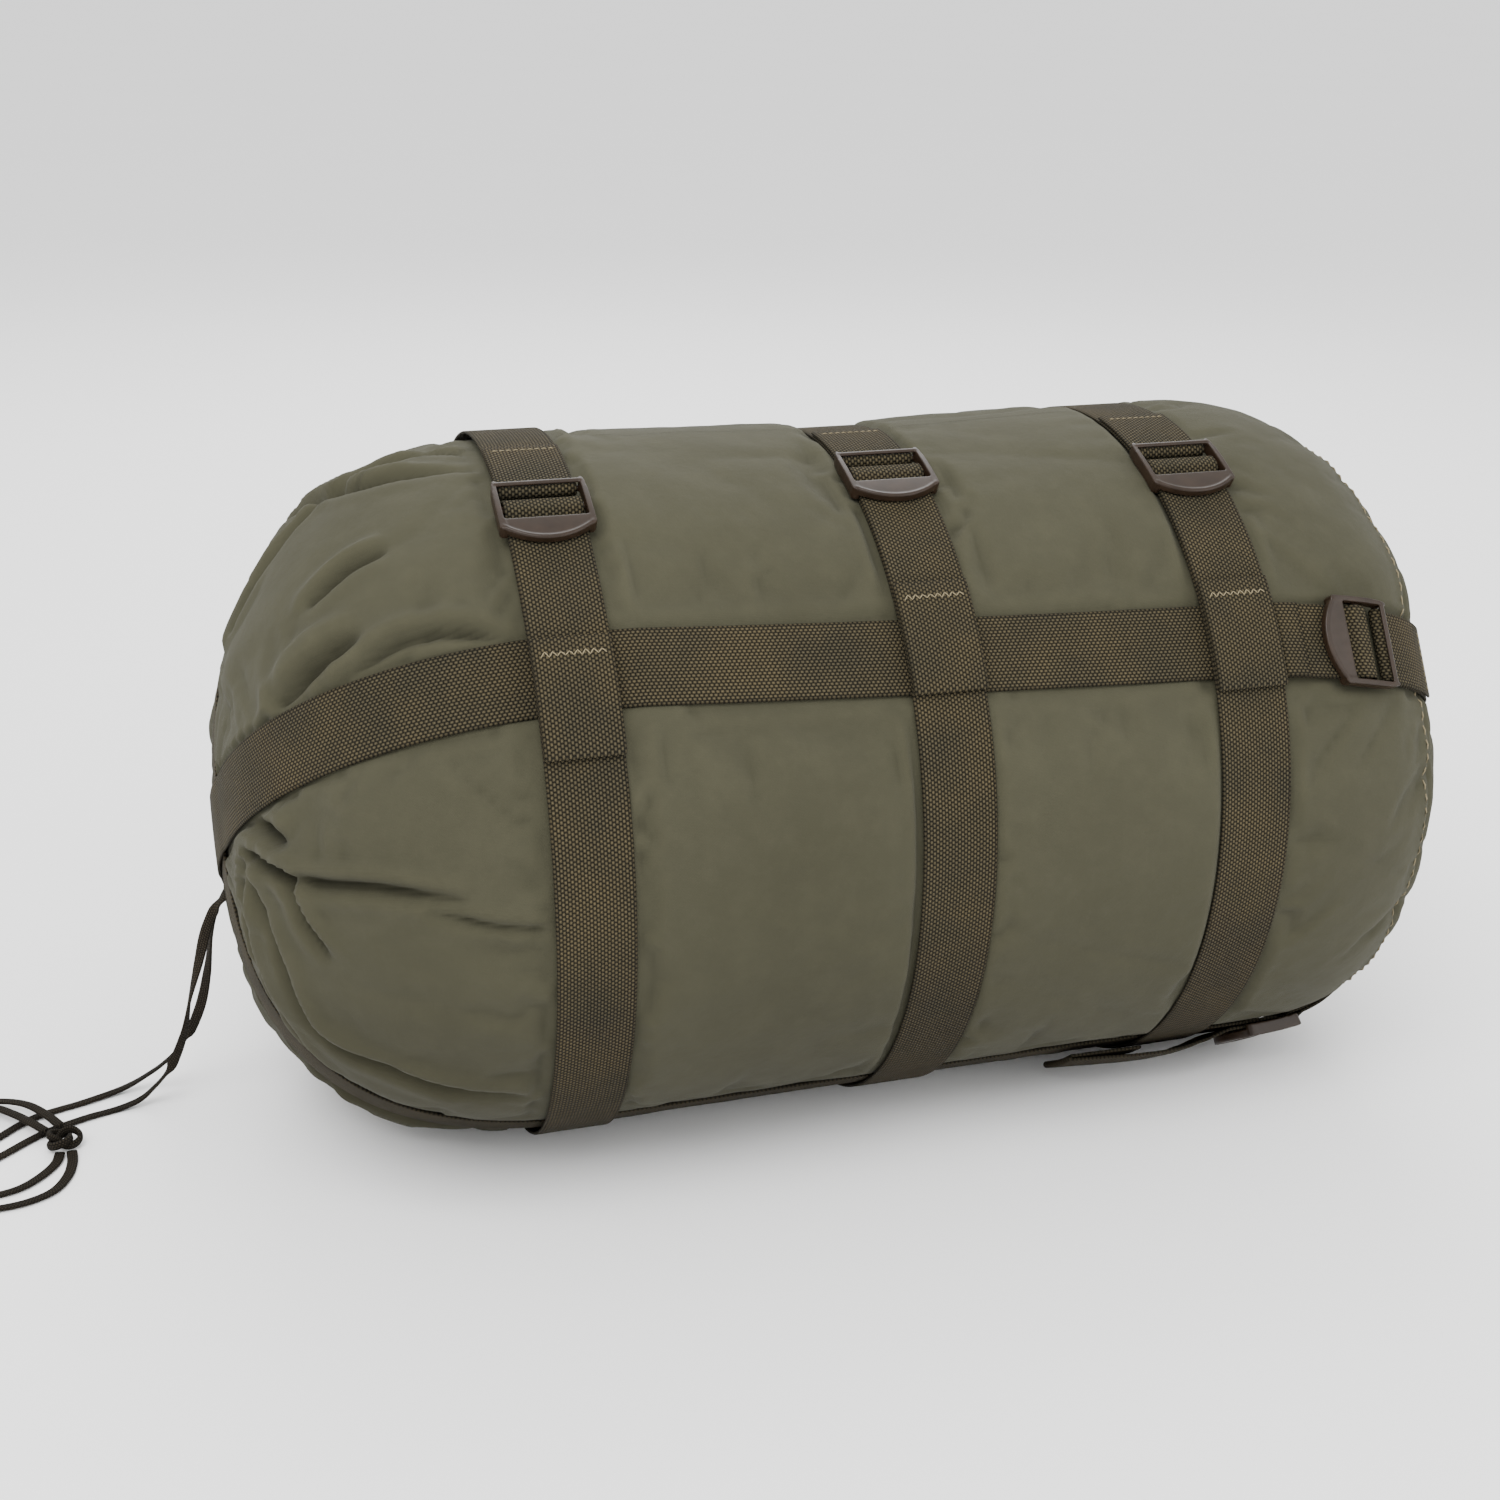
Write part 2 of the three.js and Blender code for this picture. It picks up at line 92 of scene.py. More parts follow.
HOOPS = [
    dict(x=-156.7, radius=184, lean_top=-3, lean_front=-6.4, bar_angle=21.3),
    dict(x=18, radius=180, lean_top=0, lean_front=-1, bar_angle=14.6),
    dict(x=174.7, radius=182, lean_top=0, lean_front=0, bar_angle=19.5),
]
LONG_BARS = {"a": 256, "b": 252}      # x of each lengthwise strap's hinge bar
LONG_ANGLES = {"a": (53.8, 0.0115, 3e-5), "b": (146, 0, 0)}      # degrees from the top, a quadratic in x


# ---- shape of the full sack ----
def smoothstep(value, low, high):
    t = np.clip((value - low) / (high - low), 0, 1)
    return t * t * (3 - 2 * t)


def girth(x):
    x = np.clip(x, MOUTH_DOME_START, BASE_DOME_START)
    total = 0
    for hoop in HOOPS:
        share = hoop["radius"]
        for other in HOOPS:
            if other is not hoop:
                share = share * (x - other["x"]) / (hoop["x"] - other["x"])
        total = total + share
    return total


def dome_share(x):
    mouth = (MOUTH_DOME_START - x) / (MOUTH_DOME_START - MOUTH_X)
    base = (x - BASE_DOME_START) / (BASE_X - BASE_DOME_START)
    return np.clip(np.maximum(mouth, base), 0, 1)


def axis_height(x):
    return girth(x) - SETTLE - END_DROOP * dome_share(x) ** 2


def outline_side():
    """(x, radius) from the base pole to the mouth pole."""
    angle = np.radians(np.arange(0, 90.1, 0.25))
    base = BASE_DOME_START + (BASE_X - BASE_DOME_START) * np.cos(angle) ** (2 / BASE_ROUNDNESS)
    base_r = girth(BASE_DOME_START) * np.sin(angle) ** (2 / BASE_ROUNDNESS)
    middle = np.arange(BASE_DOME_START - 5, MOUTH_DOME_START + 2, -5.0)
    mouth = MOUTH_DOME_START + (MOUTH_X - MOUTH_DOME_START) * np.cos(angle[::-1]) ** (2 / MOUTH_ROUNDNESS)
    mouth_r = girth(MOUTH_DOME_START) * np.sin(angle[::-1]) ** (2 / MOUTH_ROUNDNESS)
    x = np.concatenate([base, middle, mouth])
    return x, np.concatenate([base_r, girth(middle), mouth_r])


SIDE_X, SIDE_R = outline_side()
SIDE_AT = np.concatenate([[0], np.cumsum(np.hypot(np.diff(SIDE_X), np.diff(SIDE_R)))])
MOUTH_AT = SIDE_AT[-1]
OUTLINE_LENGTH = 2 * MOUTH_AT


def outline_point(distance):
    d = np.mod(distance, OUTLINE_LENGTH)
    near = np.minimum(d, OUTLINE_LENGTH - d)
    radius = np.interp(near, SIDE_AT, SIDE_R)
    return np.interp(near, SIDE_AT, SIDE_X), np.where(d > MOUTH_AT, -radius, radius)


def outline_frame(distance):
    """x, radius and the outward normal of the outline at a distance from the base pole."""
    x, radius = outline_point(distance)
    x1, r1 = outline_point(distance + 1.5)
    x0, r0 = outline_point(distance - 1.5)
    size = np.hypot(x1 - x0, r1 - r0)
    return x, radius, (r1 - r0) / size, (x0 - x1) / size


def outline_at_x(x):
    return np.interp(-x, -SIDE_X, SIDE_AT)


def outline_at_radius(radius):
    return np.interp(radius, SIDE_R[SIDE_X > BASE_DOME_START], SIDE_AT[SIDE_X > BASE_DOME_START])


def long_angle(name, x):
    start, lean, bend = LONG_ANGLES[name]
    return np.radians(start + lean * x + bend * x * x)


def hoop_lay(hoop):
    def lay(s, w, n):
        angle = np.radians(hoop["bar_angle"]) + s / hoop["radius"]
        level = HOOP_LEVEL + n
        reach = hoop["radius"] + level
        x = hoop["x"] + hoop["lean_top"] * np.cos(angle) + hoop["lean_front"] * np.sin(angle) - w
        z = np.maximum(hoop["radius"] - SETTLE + reach * np.cos(angle), GROUND_LEVEL - level)
        return np.stack([x, -reach * np.sin(angle), z], -1)
    return lay


def long_lay(name):
    bar = outline_at_x(LONG_BARS[name])

    def lay(s, w, n):
        px, pr, nx, nr = outline_frame(bar + s)
        from_bar = np.abs(s - OUTLINE_LENGTH * np.round(s / OUTLINE_LENGTH))
        hug = smoothstep(from_bar, *HUG_FROM_BAR)
        fall = hug * np.abs(nr) / np.maximum(np.abs(pr), 8) * w * w / 2
        rise = LONG_LEVEL + n - fall
        reach = pr + nr * rise
        angle = long_angle(name, px)
        y = -reach * np.sin(angle) + w * np.cos(angle)
        z = axis_height(px) + reach * np.cos(angle) + w * np.sin(angle)
        return np.stack([px + nx * rise, y, z], -1)
    return lay


LAYS = {f"hoop_{i + 1}": hoop_lay(hoop) for i, hoop in enumerate(HOOPS)}
LAYS.update({f"long_{name}": long_lay(name) for name in LONG_BARS})


# ---- mesh helpers ----
def make_mesh(name, points, faces, material, weave=None):
    """A mesh object from points in mm. weave gives each point's own material coordinates in metres."""
    mesh = bpy.data.meshes.new(name)
    mesh.from_pydata((np.asarray(points) * MM).tolist(), [], [tuple(f) for f in faces])
    mesh.materials.append(material)
    mesh.shade_smooth()
    if weave is not None:
        layer = mesh.attributes.new("weave", "FLOAT_VECTOR", "POINT")
        layer.data.foreach_set("vector", np.asarray(weave, np.float32).ravel())
    obj = bpy.data.objects.new(name, mesh)
    bpy.context.collection.objects.link(obj)
    return obj


def grid_faces(rows, columns, wrap):
    """Quads of a grid of points, row by row; wrap joins the last column to the first."""
    row, column = np.mgrid[0:rows - 1, 0:columns if wrap else columns - 1]
    following = (column + 1) % columns
    a, b = row * columns + column, row * columns + following
    return np.stack([a, a + columns, b + columns, b], -1).reshape(-1, 4)


def ring_faces(rows, columns):
    """A section swept round a closed ring."""
    return [(i * columns + j, (i + 1) % rows * columns + j,
             (i + 1) % rows * columns + (j + 1) % columns, i * columns + (j + 1) % columns)
            for i in range(rows) for j in range(columns)]


def tube_faces(rows, columns):
    """A swept section with both ends closed."""
    sides = grid_faces(rows, columns, True).tolist()
    last = (rows - 1) * columns
    return [*sides, list(range(columns)), list(range(last, last + columns))[::-1]]


def distance_along(line):
    """How far along a line each of its points is."""
    return np.concatenate([[0], np.cumsum(np.linalg.norm(np.diff(line, axis=0), axis=1))])


def unit(vectors):
    return vectors / np.linalg.norm(vectors, axis=-1)[..., None]


def spread_along(points, step):
    """The same line with a point at every step, straight between its corners."""
    points = np.asarray(points, float)
    run = distance_along(points)
    wanted = np.linspace(0, run[-1], max(int(run[-1] / step), 2) + 1)
    return np.stack([np.interp(wanted, run, points[:, k]) for k in range(points.shape[1])], -1)


def eased(points, times=2):
    """Corners cut off a polyline, with its two ends kept."""
    points = np.asarray(points, float)
    for _ in range(times):
        a, b = points[:-1], points[1:]
        cut = np.stack([a * 0.75 + b * 0.25, a * 0.25 + b * 0.75], 1).reshape(-1, points.shape[1])
        points = np.concatenate([points[:1], cut, points[-1:]])
    return points


def centripetal(points, step):
    """A smooth line through given points: a centripetal Catmull-Rom curve."""
    p = [np.asarray(q, float) for q in points]
    p = [2 * p[0] - p[1], *p, 2 * p[-1] - p[-2]]
    line = []
    for a, b, c, d in zip(p, p[1:], p[2:], p[3:]):
        t0, t1 = 0, np.linalg.norm(b - a) ** 0.5
        t2 = t1 + np.linalg.norm(c - b) ** 0.5
        t3 = t2 + np.linalg.norm(d - c) ** 0.5
        for t in np.linspace(t1, t2, max(int(np.linalg.norm(c - b) / step), 2), endpoint=False):
            ab, bc, cd = ((u * (y - t) + v * (t - x)) / (y - x) for u, v, x, y in
                          ((a, b, t0, t1), (b, c, t1, t2), (c, d, t2, t3)))
            abc = (ab * (t2 - t) + bc * (t - t0)) / (t2 - t0)
            bcd = (bc * (t3 - t) + cd * (t - t1)) / (t3 - t1)
            line.append((abc * (t2 - t) + bcd * (t - t1)) / (t2 - t1))
    return np.array([*line, p[-2]])


# ---- materials ----
class Nodes:
    """A material's node tree, built by short calls."""

    def __init__(self, name, roughness, specular=0.5):
        self.material = bpy.data.materials.new(name)
        self.material.use_nodes = True
        self.tree = self.material.node_tree
        self.shader = self.tree.nodes["Principled BSDF"]
        self.shader.inputs["Roughness"].default_value = roughness
        self.shader.inputs["Specular IOR Level"].default_value = specular

    def put(self, kind, settings=(), **inputs):
        node = self.tree.nodes.new(kind)
        for key, value in dict(settings).items():
            setattr(node, key, value)
        for key, value in inputs.items():
            socket = node.inputs[int(key[1:])] if key[0] == "_" else node.inputs[key.replace("_", " ")]
            if isinstance(value, bpy.types.NodeSocket):
                self.tree.links.new(value, socket)
            else:
                socket.default_value = value
        return node.outputs[0]

    def math(self, operation, a, b=0.0):
        return self.put("ShaderNodeMath", {"operation": operation}, _0=a, _1=b)

    def place(self):
        return self.tree.nodes.new("ShaderNodeTexCoord").outputs["Object"]

    def pointiness(self):
        return self.tree.nodes.new("ShaderNodeNewGeometry").outputs["Pointiness"]

    def parts(self, vector):
        node = self.tree.nodes.new("ShaderNodeSeparateXYZ")
        self.tree.links.new(vector, node.inputs[0])
        return node.outputs

    def weave(self):
        """The cloth's own coordinates in metres, stored on the mesh: all, along and across."""
        node = self.tree.nodes.new("ShaderNodeAttribute")
        node.attribute_name = "weave"
        along, across, _ = self.parts(node.outputs["Vector"])
        return node.outputs["Vector"], along, across

    def painted_ground_shade(self, place, *stops):
        """Painted shade, darker towards the ground: stops are in quarters of a metre of height."""
        return self.ramp(self.math("MULTIPLY", self.parts(place)[2], 4.0), *stops)

    def noise(self, vector, scale, detail=3.0, roughness=0.5):
        return self.put("ShaderNodeTexNoise", Vector=vector, Scale=scale, Detail=detail,
                        Roughness=roughness)

    def ramp(self, value, *stops):
        node = self.tree.nodes.new("ShaderNodeValToRGB")
        ramp = node.color_ramp
        while len(ramp.elements) < len(stops):
            ramp.elements.new(0.5)
        for element, (at, colour) in zip(ramp.elements, stops):
            element.position = at
            element.color = (*colour, 1)
        self.tree.links.new(value, node.inputs[0])
        return node.outputs[0]

    def mix(self, share, a, b, blend="MIX"):
        node = self.tree.nodes.new("ShaderNodeMix")
        node.data_type = "RGBA"
        node.blend_type = blend
        for socket, value in ((node.inputs[0], share), (node.inputs[6], a), (node.inputs[7], b)):
            if isinstance(value, bpy.types.NodeSocket):
                self.tree.links.new(value, socket)
            else:
                socket.default_value = value if isinstance(value, float) else (*value, 1)
        return node.outputs[2]

    def colour(self, value):
        self.tree.links.new(value, self.shader.inputs["Base Color"])

    def roughness(self, value):
        self.tree.links.new(value, self.shader.inputs["Roughness"])

    def bump(self, height, distance, strength=1.0, under=None):
        extra = {} if under is None else {"Normal": under}
        return self.put("ShaderNodeBump", Height=height, Distance=distance, Strength=strength, **extra)

    def normal(self, value):
        self.tree.links.new(value, self.shader.inputs["Normal"])


def linear(red, green, blue):
    """Screen colour from 0 to 255 as the shader's linear colour."""
    return tuple(((c / 255 + 0.055) / 1.055) ** 2.4 for c in (red, green, blue))


def thread_pattern(nodes, along, across, rib, pick):
    """Height of a plain weave from 0 to 1, with each second column half a rib further on."""
    column = nodes.math("DIVIDE", across, pick)
    odd = nodes.math("MODULO", nodes.math("ADD", nodes.math("FLOOR", column), 1000.0), 2.0)
    row = nodes.math("ADD", nodes.math("DIVIDE", along, rib), nodes.math("MULTIPLY", odd, 0.5))
    hill = nodes.math("ABSOLUTE", nodes.math("SINE", nodes.math("MULTIPLY", row, math.pi)))
    side = nodes.math("ABSOLUTE", nodes.math("SINE", nodes.math("MULTIPLY", column, math.pi)))
    return nodes.math("MULTIPLY", nodes.math("POWER", hill, 0.7), nodes.math("POWER", side, 0.45))


CLOTH_THREAD = 0.0007                # metres


def fabric_material(name):
    nodes = Nodes(name, 0.85, 0.12)
    nodes.shader.inputs["Sheen Weight"].default_value = 0.03
    place = nodes.place()
    _, along, across = nodes.weave()
    cloth = nodes.ramp(nodes.noise(place, 5.0, 4.0), (0.3, linear(57, 56, 43)), (0.7, linear(65, 64, 50)))
    rubbed = nodes.ramp(nodes.noise(place, 60.0, 5.0, 0.7), (0.45, (0, 0, 0)), (0.75, (1, 1, 1)))
    cloth = nodes.mix(nodes.math("MULTIPLY", rubbed, 0.18), cloth, linear(80, 78, 62))
    threads = thread_pattern(nodes, along, across, CLOTH_THREAD, CLOTH_THREAD)
    # Painted shade between the threads: the cloth is darker where the weave is low.
    cloth = nodes.mix(nodes.math("MULTIPLY", nodes.math("SUBTRACT", 1.0, threads), 0.25),
                      cloth, linear(38, 36, 26))
    # Painted shade: the cloth is darkened towards the ground.
    painted_ground_shade = nodes.painted_ground_shade(place, (0.02, (0.66, 0.65, 0.62)), (0.95, (1, 1, 1)))
    cloth = nodes.mix(1.0, cloth, painted_ground_shade, "MULTIPLY")
    # Painted shade in creases and hollows and painted light on ridges, read from the mesh's pointiness.
    painted_crease_shade_ridge_light = nodes.ramp(nodes.pointiness(),
                       (0.4, (0.38, 0.38, 0.36)), (0.49, (1, 1, 1)), (0.56, (1.1, 1.09, 1.07)))
    nodes.colour(nodes.mix(1.0, cloth, painted_crease_shade_ridge_light, "MULTIPLY"))
    stretched = nodes.put("ShaderNodeMapping", Vector=place, Scale=(6.0, 14.0, 11.0),
                          Rotation=(0.4, 0.3, 0.5))
    creases = nodes.put("ShaderNodeTexNoise", {"noise_type": "RIDGED_MULTIFRACTAL"}, Vector=stretched,
                        Scale=1.0, Detail=4.0, Roughness=0.45, Distortion=0.7)
    crumple = nodes.bump(creases, 0.004, 0.34)
    soft = nodes.bump(nodes.noise(place, 45.0, 4.0, 0.6), 0.003, 0.35, crumple)
    nodes.normal(nodes.bump(threads, 0.00012, 0.7, soft))
    return nodes.material


def webbing_material(name, dark, bright, rib=0.0023, pick=0.0016):
    """Coarse weave with fuzzy lit ribs; rib and pick are its thread sizes along and across, in metres."""
    nodes = Nodes(name, 0.85, 0.12)
    place = nodes.place()
    vector, along, across = nodes.weave()
    threads = thread_pattern(nodes, along, across, rib, pick)
    fuzz = nodes.noise(vector, 900.0, 3.0, 0.7)
    streaks = nodes.noise(place, 26.0, 4.0, 0.6)
    # Painted light on the raised threads and painted shade between them.
    lit = nodes.math("MULTIPLY", nodes.math("POWER", threads, 1.8),
                     nodes.math("ADD", 0.35, nodes.math("MULTIPLY", fuzz, 1.3)))
    web = nodes.mix(lit, dark, bright)
    tint = nodes.ramp(streaks, (0.35, (0.82, 0.84, 0.86)), (0.65, (1.14, 1.1, 1.02)))
    web = nodes.mix(1.0, web, tint, "MULTIPLY")
    # Painted shade: the webbing is darkened towards the ground.
    painted_ground_shade = nodes.painted_ground_shade(place, (0.05, (0.6, 0.58, 0.55)), (0.7, (1, 1, 1)))
    web = nodes.mix(1.0, web, painted_ground_shade, "MULTIPLY")
    selvedge = nodes.put("ShaderNodeMapRange", _0=nodes.math("ABSOLUTE", across), _1=0.0172, _2=0.0186)
    web = nodes.mix(nodes.math("MULTIPLY", selvedge, 0.45), web, dark)
    nodes.colour(web)
    fibres = nodes.bump(fuzz, 0.00015, 0.5)
    nodes.normal(nodes.bump(threads, 0.0007, 1.0, fibres))
    return nodes.material


def plastic_material(name):
    nodes = Nodes(name, 0.25, 0.22)
    place = nodes.place()
    mottle = nodes.noise(place, 120.0, 4.0)
    body = nodes.ramp(mottle, (0.3, linear(33, 24, 16)), (0.7, linear(42, 31, 22)))
    worn = nodes.ramp(nodes.pointiness(), (0.52, (0, 0, 0)), (0.62, (1, 1, 1)))
    scuffs = nodes.ramp(nodes.noise(place, 420.0, 4.0, 0.7), (0.4, (0, 0, 0)), (0.7, (1, 1, 1)))
    nodes.colour(nodes.mix(nodes.math("MULTIPLY", nodes.math("MULTIPLY", worn, scuffs), 0.25),
                           body, linear(72, 62, 54)))
    nodes.roughness(nodes.put("ShaderNodeMapRange", _0=scuffs, _3=0.32, _4=0.42))
    nodes.normal(nodes.bump(nodes.noise(place, 300.0, 2.0), 0.00004, 0.3))
    return nodes.material


def thread_material(name, tone, rough=0.8):
    nodes = Nodes(name, rough, 0.3)
    place = nodes.place()
    nodes.colour(nodes.mix(nodes.noise(place, 900.0, 3.0), tuple(c * 0.75 for c in tone),
                           tuple(c * 1.25 for c in tone)))
    nodes.normal(nodes.bump(nodes.noise(place, 2500.0, 2.0), 0.0001, 0.6))
    return nodes.material


CLOTH = fabric_material("sack_cloth")
WEBBING = webbing_material("webbing", linear(12, 11, 7), linear(77, 70, 52))
BRAID = webbing_material("cord_braid", linear(14, 12, 9), linear(60, 54, 44), 0.0016, 0.0012)
PLASTIC = plastic_material("lock_plastic")
PALE_THREAD = thread_material("pale_thread", linear(116, 106, 82))
STUFFING = thread_material("stuffing", linear(84, 84, 70), 0.95)

# ---- drawcord: routes in metres, as the CAD model lays them ----
CORD_WIDTH, CORD_THICKNESS = 0.0056, 0.0018
CORD_STEP, CORD_SIDES = 0.002, 16
FLATTER = 0.0014                     # on the floor the flat braid lies lower than its CAD tube
CORD_ROUTES = {
    "drawcord_front": [
        (-.3104, .0015, .1445), (-.3118, .0025, .138), (-.3148, .0035, .1315), (-.3205, .005, .125),
        (-.3265, .008, .112), (-.332, .013, .09), (-.338, .015, .068), (-.343, .02, .044),
        (-.352, .025, .022), (-.365, .029, .007), (-.378, .028, .0026), (-.398, .022, .0024),
        (-.419, .012, .0024), (-.441, -.006, .0024), (-.462, -.022, .0024), (-.486, -.024, .0024),
        (-.504, -.008, .0024), (-.51, .018, .0024), (-.5, .042, .0024), (-.48, .056, .0024),
        (-.458, .055, .0028), (-.44, .046, .006), (-.427, .036, .0072), (-.417, .022, .0072),
        (-.41, .009, .0068),
    ],
    "drawcord_back": [
        (-.3104, .0075, .145), (-.3124, .0085, .1385), (-.3153, .01, .1315), (-.3195, .014, .121),
        (-.324, .02, .102), (-.3275, .025, .078), (-.333, .03, .054), (-.343, .037, .031),
        (-.358, .043, .014), (-.376, .047, .004), (-.397, .04, .0024), (-.424, .03, .0024),
        (-.443, .013, .0024), (-.462, -.004, .0024), (-.48, -.008, .0024), (-.494, .002, .0024),
        (-.497, .02, .0024), (-.488, .036, .0024), (-.474, .045, .0024), (-.458, .045, .003),
        (-.446, .04, .0066), (-.435, .029, .0072), (-.425, .016, .0072), (-.4175, .0055, .0068),
    ],
    "drawcord_end_upper": [
        (-.411, -.012, .003), (-.413, -.02, .0024), (-.421, -.032, .0024), (-.432, -.041, .0024),
        (-.446, -.044, .0024), (-.462, -.04, .0024),
    ],
    "drawcord_end_lower": [
        (-.405, -.012, .003), (-.405, -.022, .0024), (-.408, -.036, .0024), (-.415, -.048, .0024),
        (-.428, -.055, .0024), (-.444, -.057, .0024), (-.46, -.057, .0024),
    ],
}
CORD_TWISTS = {"drawcord_front": 0.5, "drawcord_back": -0.35}    # turns, along the hanging stretch


def flat_cord(name, route):
    """A flat braid swept along its route, lying flat on the floor and turned a little where it hangs."""
    line = centripetal(route, CORD_STEP)
    line[:, 2] -= FLATTER * smoothstep(line[:, 2], 0.012, 0.003)
    tangent = unit(np.gradient(line, axis=0))
    flat = np.cross(tangent, (0, 0, 1))
    hanging = np.linalg.norm(flat, axis=1) < 0.5
    flat[hanging] = np.cross(tangent[hanging], (0.3, -0.9, 0.3))
    for _ in range(12):
        flat[1:-1] = (flat[:-2] + 2 * flat[1:-1] + flat[2:]) / 4
    flat = unit(flat - tangent * (flat * tangent).sum(1)[:, None])
    up = np.cross(flat, tangent)
    turn = 2 * math.pi * CORD_TWISTS.get(name, 0) * smoothstep(line[:, 2], 0.02, 0.13)
    wide = flat * np.cos(turn)[:, None] + up * np.sin(turn)[:, None]
    thin = np.cross(wide, tangent)
    around = np.linspace(0, 2 * math.pi, CORD_SIDES, endpoint=False)
    across = np.sign(np.cos(around)) * np.abs(np.cos(around)) ** 0.7 * CORD_WIDTH / 2
    raised = np.sin(around) * CORD_THICKNESS / 2
    points = line[:, None] + wide[:, None] * across[:, None] + thin[:, None] * raised[:, None]
    run = distance_along(line)
    weave = np.stack(np.broadcast_arrays(run[:, None], across, raised), -1)
    obj = make_mesh(name + "_braid", points.reshape(-1, 3) / MM, tube_faces(len(line), CORD_SIDES),
                    BRAID, weave.reshape(-1, 3))
    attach(obj, "root")
    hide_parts(name)
    return obj, line


def cord_knot():
    """Overhand knot of the two strands, drawn up small: a trefoil of flat braid."""
    centre, reach, height = np.array((-409, -3, 4.9)), 3.0, 1.9
    half_width, half_thickness = 2.3, 1.5
    steps, sides = 120, 12
    t = np.linspace(0, 2 * math.pi, steps, endpoint=False)
    ring = reach * (2 + 0.9 * np.cos(3 * t))
    line = np.stack([ring * np.cos(2 * t), ring * 0.95 * np.sin(2 * t), height * np.sin(3 * t)], -1)
    tangent = unit(np.roll(line, -1, 0) - np.roll(line, 1, 0))
    wide = unit(np.cross(tangent, line * (1, 1, 0)))
    thin = np.cross(wide, tangent)
    around = np.linspace(0, 2 * math.pi, sides, endpoint=False)
    across, raised = np.cos(around) * half_width, np.sin(around) * half_thickness
    points = centre + line[:, None] + wide[:, None] * across[:, None] + thin[:, None] * raised[:, None]
    run = np.arange(steps) * MM
    weave = np.stack(np.broadcast_arrays(run[:, None], across * MM, raised * MM), -1)
    knot = make_mesh("drawcord_overhand_knot", points.reshape(-1, 3), ring_faces(steps, sides), BRAID,
                     weave.reshape(-1, 3))
    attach(knot, "root")
    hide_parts("drawcord_knot")
    return knot


def make_cords():
    knot = cord_knot()
    for name, route in CORD_ROUTES.items():
        obj, line = flat_cord(name, route)


make_cords()

# ---- the fabric ----
COLUMNS = 216                      # points round the sack before it is refined
ROW_STEP = 5
RING_FROM_MOUTH = 24               # where the gathers end, at the hem
UNDER_HOOP, UNDER_LONG = -1.5, -4.0      # level of the fabric beneath the straps
STRAP_EASE, FOLD_EASE, PUCKER_REACH = 6, 10, 38      # how far beside a strap each effect fades
HELD = 0.35                        # cloth this much covered by a strap is pinned
VALLEY, BESIDE_LONG = 34, -2        # a lengthwise strap presses the fabric in for this far beside it
PLUMP = -0.8                       # the fabric between straps before it is blown out
HIGHEST, LOWEST = 4.5, -7          # how far the fabric may move from its nominal surface
DEEPEST_FOLD = -11
MOST_SLIDE = 6
CREASE_STRENGTH = 1.15
LOWEST_Z = 0.6
SIM_STEPS = 20
# radial folds of the gathered end: how many, how deep, how far out they fade, and their phase
GATHERS = [(31, 2.6, 34, 0.4), (19, 3.6, 62, 1.9), (11, 3.0, 110, 4.1)]
SEAM_AT = float(outline_at_radius(SEAM_RADIUS))

# creases of the gathered end: (x, angle) points from the mouth outwards, depth and half width in mm
CREASES = [
    ([(-290, 41), (-272, 39), (-250, 38)], 9, 7),
    ([(-262, 44), (-236, 42), (-213, 43), (-180, 48)], 5, 5),
    ([(-268, 26), (-250, 24), (-232, 24)], 6, 5),
    ([(-300, -30), (-267, -18), (-240, 0), (-184, 10)], 7, 6),
    ([(-300, 2), (-251, -4), (-210, -4), (-172, 5)], 4, 5),
    ([(-309, 66), (-300, 71), (-291, 75)], 9, 7),
    ([(-309, 76), (-289, 81), (-257, 82), (-216, 85)], 6, 5),
    ([(-308, 78), (-293, 81), (-286, 90), (-276, 98)], 7, 5),
    ([(-310, 82), (-299, 98), (-286, 117), (-256, 120), (-186, 125)], 6, 6),
    ([(-311, 90), (-306, 112), (-290, 130), (-268, 136)], 6, 6),
    ([(-234, 86), (-206, 89), (-184, 90)], 3, 4),
    ([(-300, 150), (-270, 160), (-200, 158)], 6, 7),
    ([(-300, 205), (-262, 200), (-205, 206)], 8, 7),
    ([(-302, 240), (-270, 247), (-220, 243)], 7, 7),
    ([(-300, 285), (-266, 280), (-200, 285)], 8, 7),
    ([(-303, 318), (-275, 322), (-225, 318)], 6, 6),
]


def skin(distance, angle, level):
    """Points of the sack's surface at a level above its nominal outline, flat on the ground."""
    x, radius, nx, nr = outline_frame(distance)
    reach = radius + nr * level
    px = x + nx * level
    z = axis_height(x) + reach * np.cos(angle)
    return np.stack(np.broadcast_arrays(px, -reach * np.sin(angle), np.maximum(z, 0.5)), -1)


def strap_cover(distance, angle, edge):
    """How far each point lies under a hoop and under a lengthwise strap, from 0 to 1 and easing off
    over edge mm, and how far a hoop's own radius stands above the outline there."""
    x, radius, _, _ = outline_frame(distance)
    hoops, longs, above = np.zeros((3, *np.broadcast(x, angle).shape))
    for hoop in HOOPS:
        middle = hoop["x"] + hoop["lean_top"] * np.cos(angle) + hoop["lean_front"] * np.sin(angle)
        away = np.abs(x - middle) - WEB_WIDTH / 2
        hoops = np.maximum(hoops, 1 - smoothstep(away, 0, edge))
        above = np.where(away < edge, hoop["radius"] - radius, above)
    for name in LONG_BARS:
        away = np.abs(radius * np.sin(angle - long_angle(name, x))) - WEB_WIDTH / 2
        longs = np.maximum(longs, 1 - smoothstep(away, 0, edge))
    return hoops, longs, above


def noise_grid(points, size, seed):
    """Smooth noise from about -1 to 1 at each point; size is its grain in mm."""
    spots = points.reshape(-1, 3) / size + seed * 17.3
    return np.array([noise.noise(Vector(spot)) for spot in spots]).reshape(points.shape[:-1])


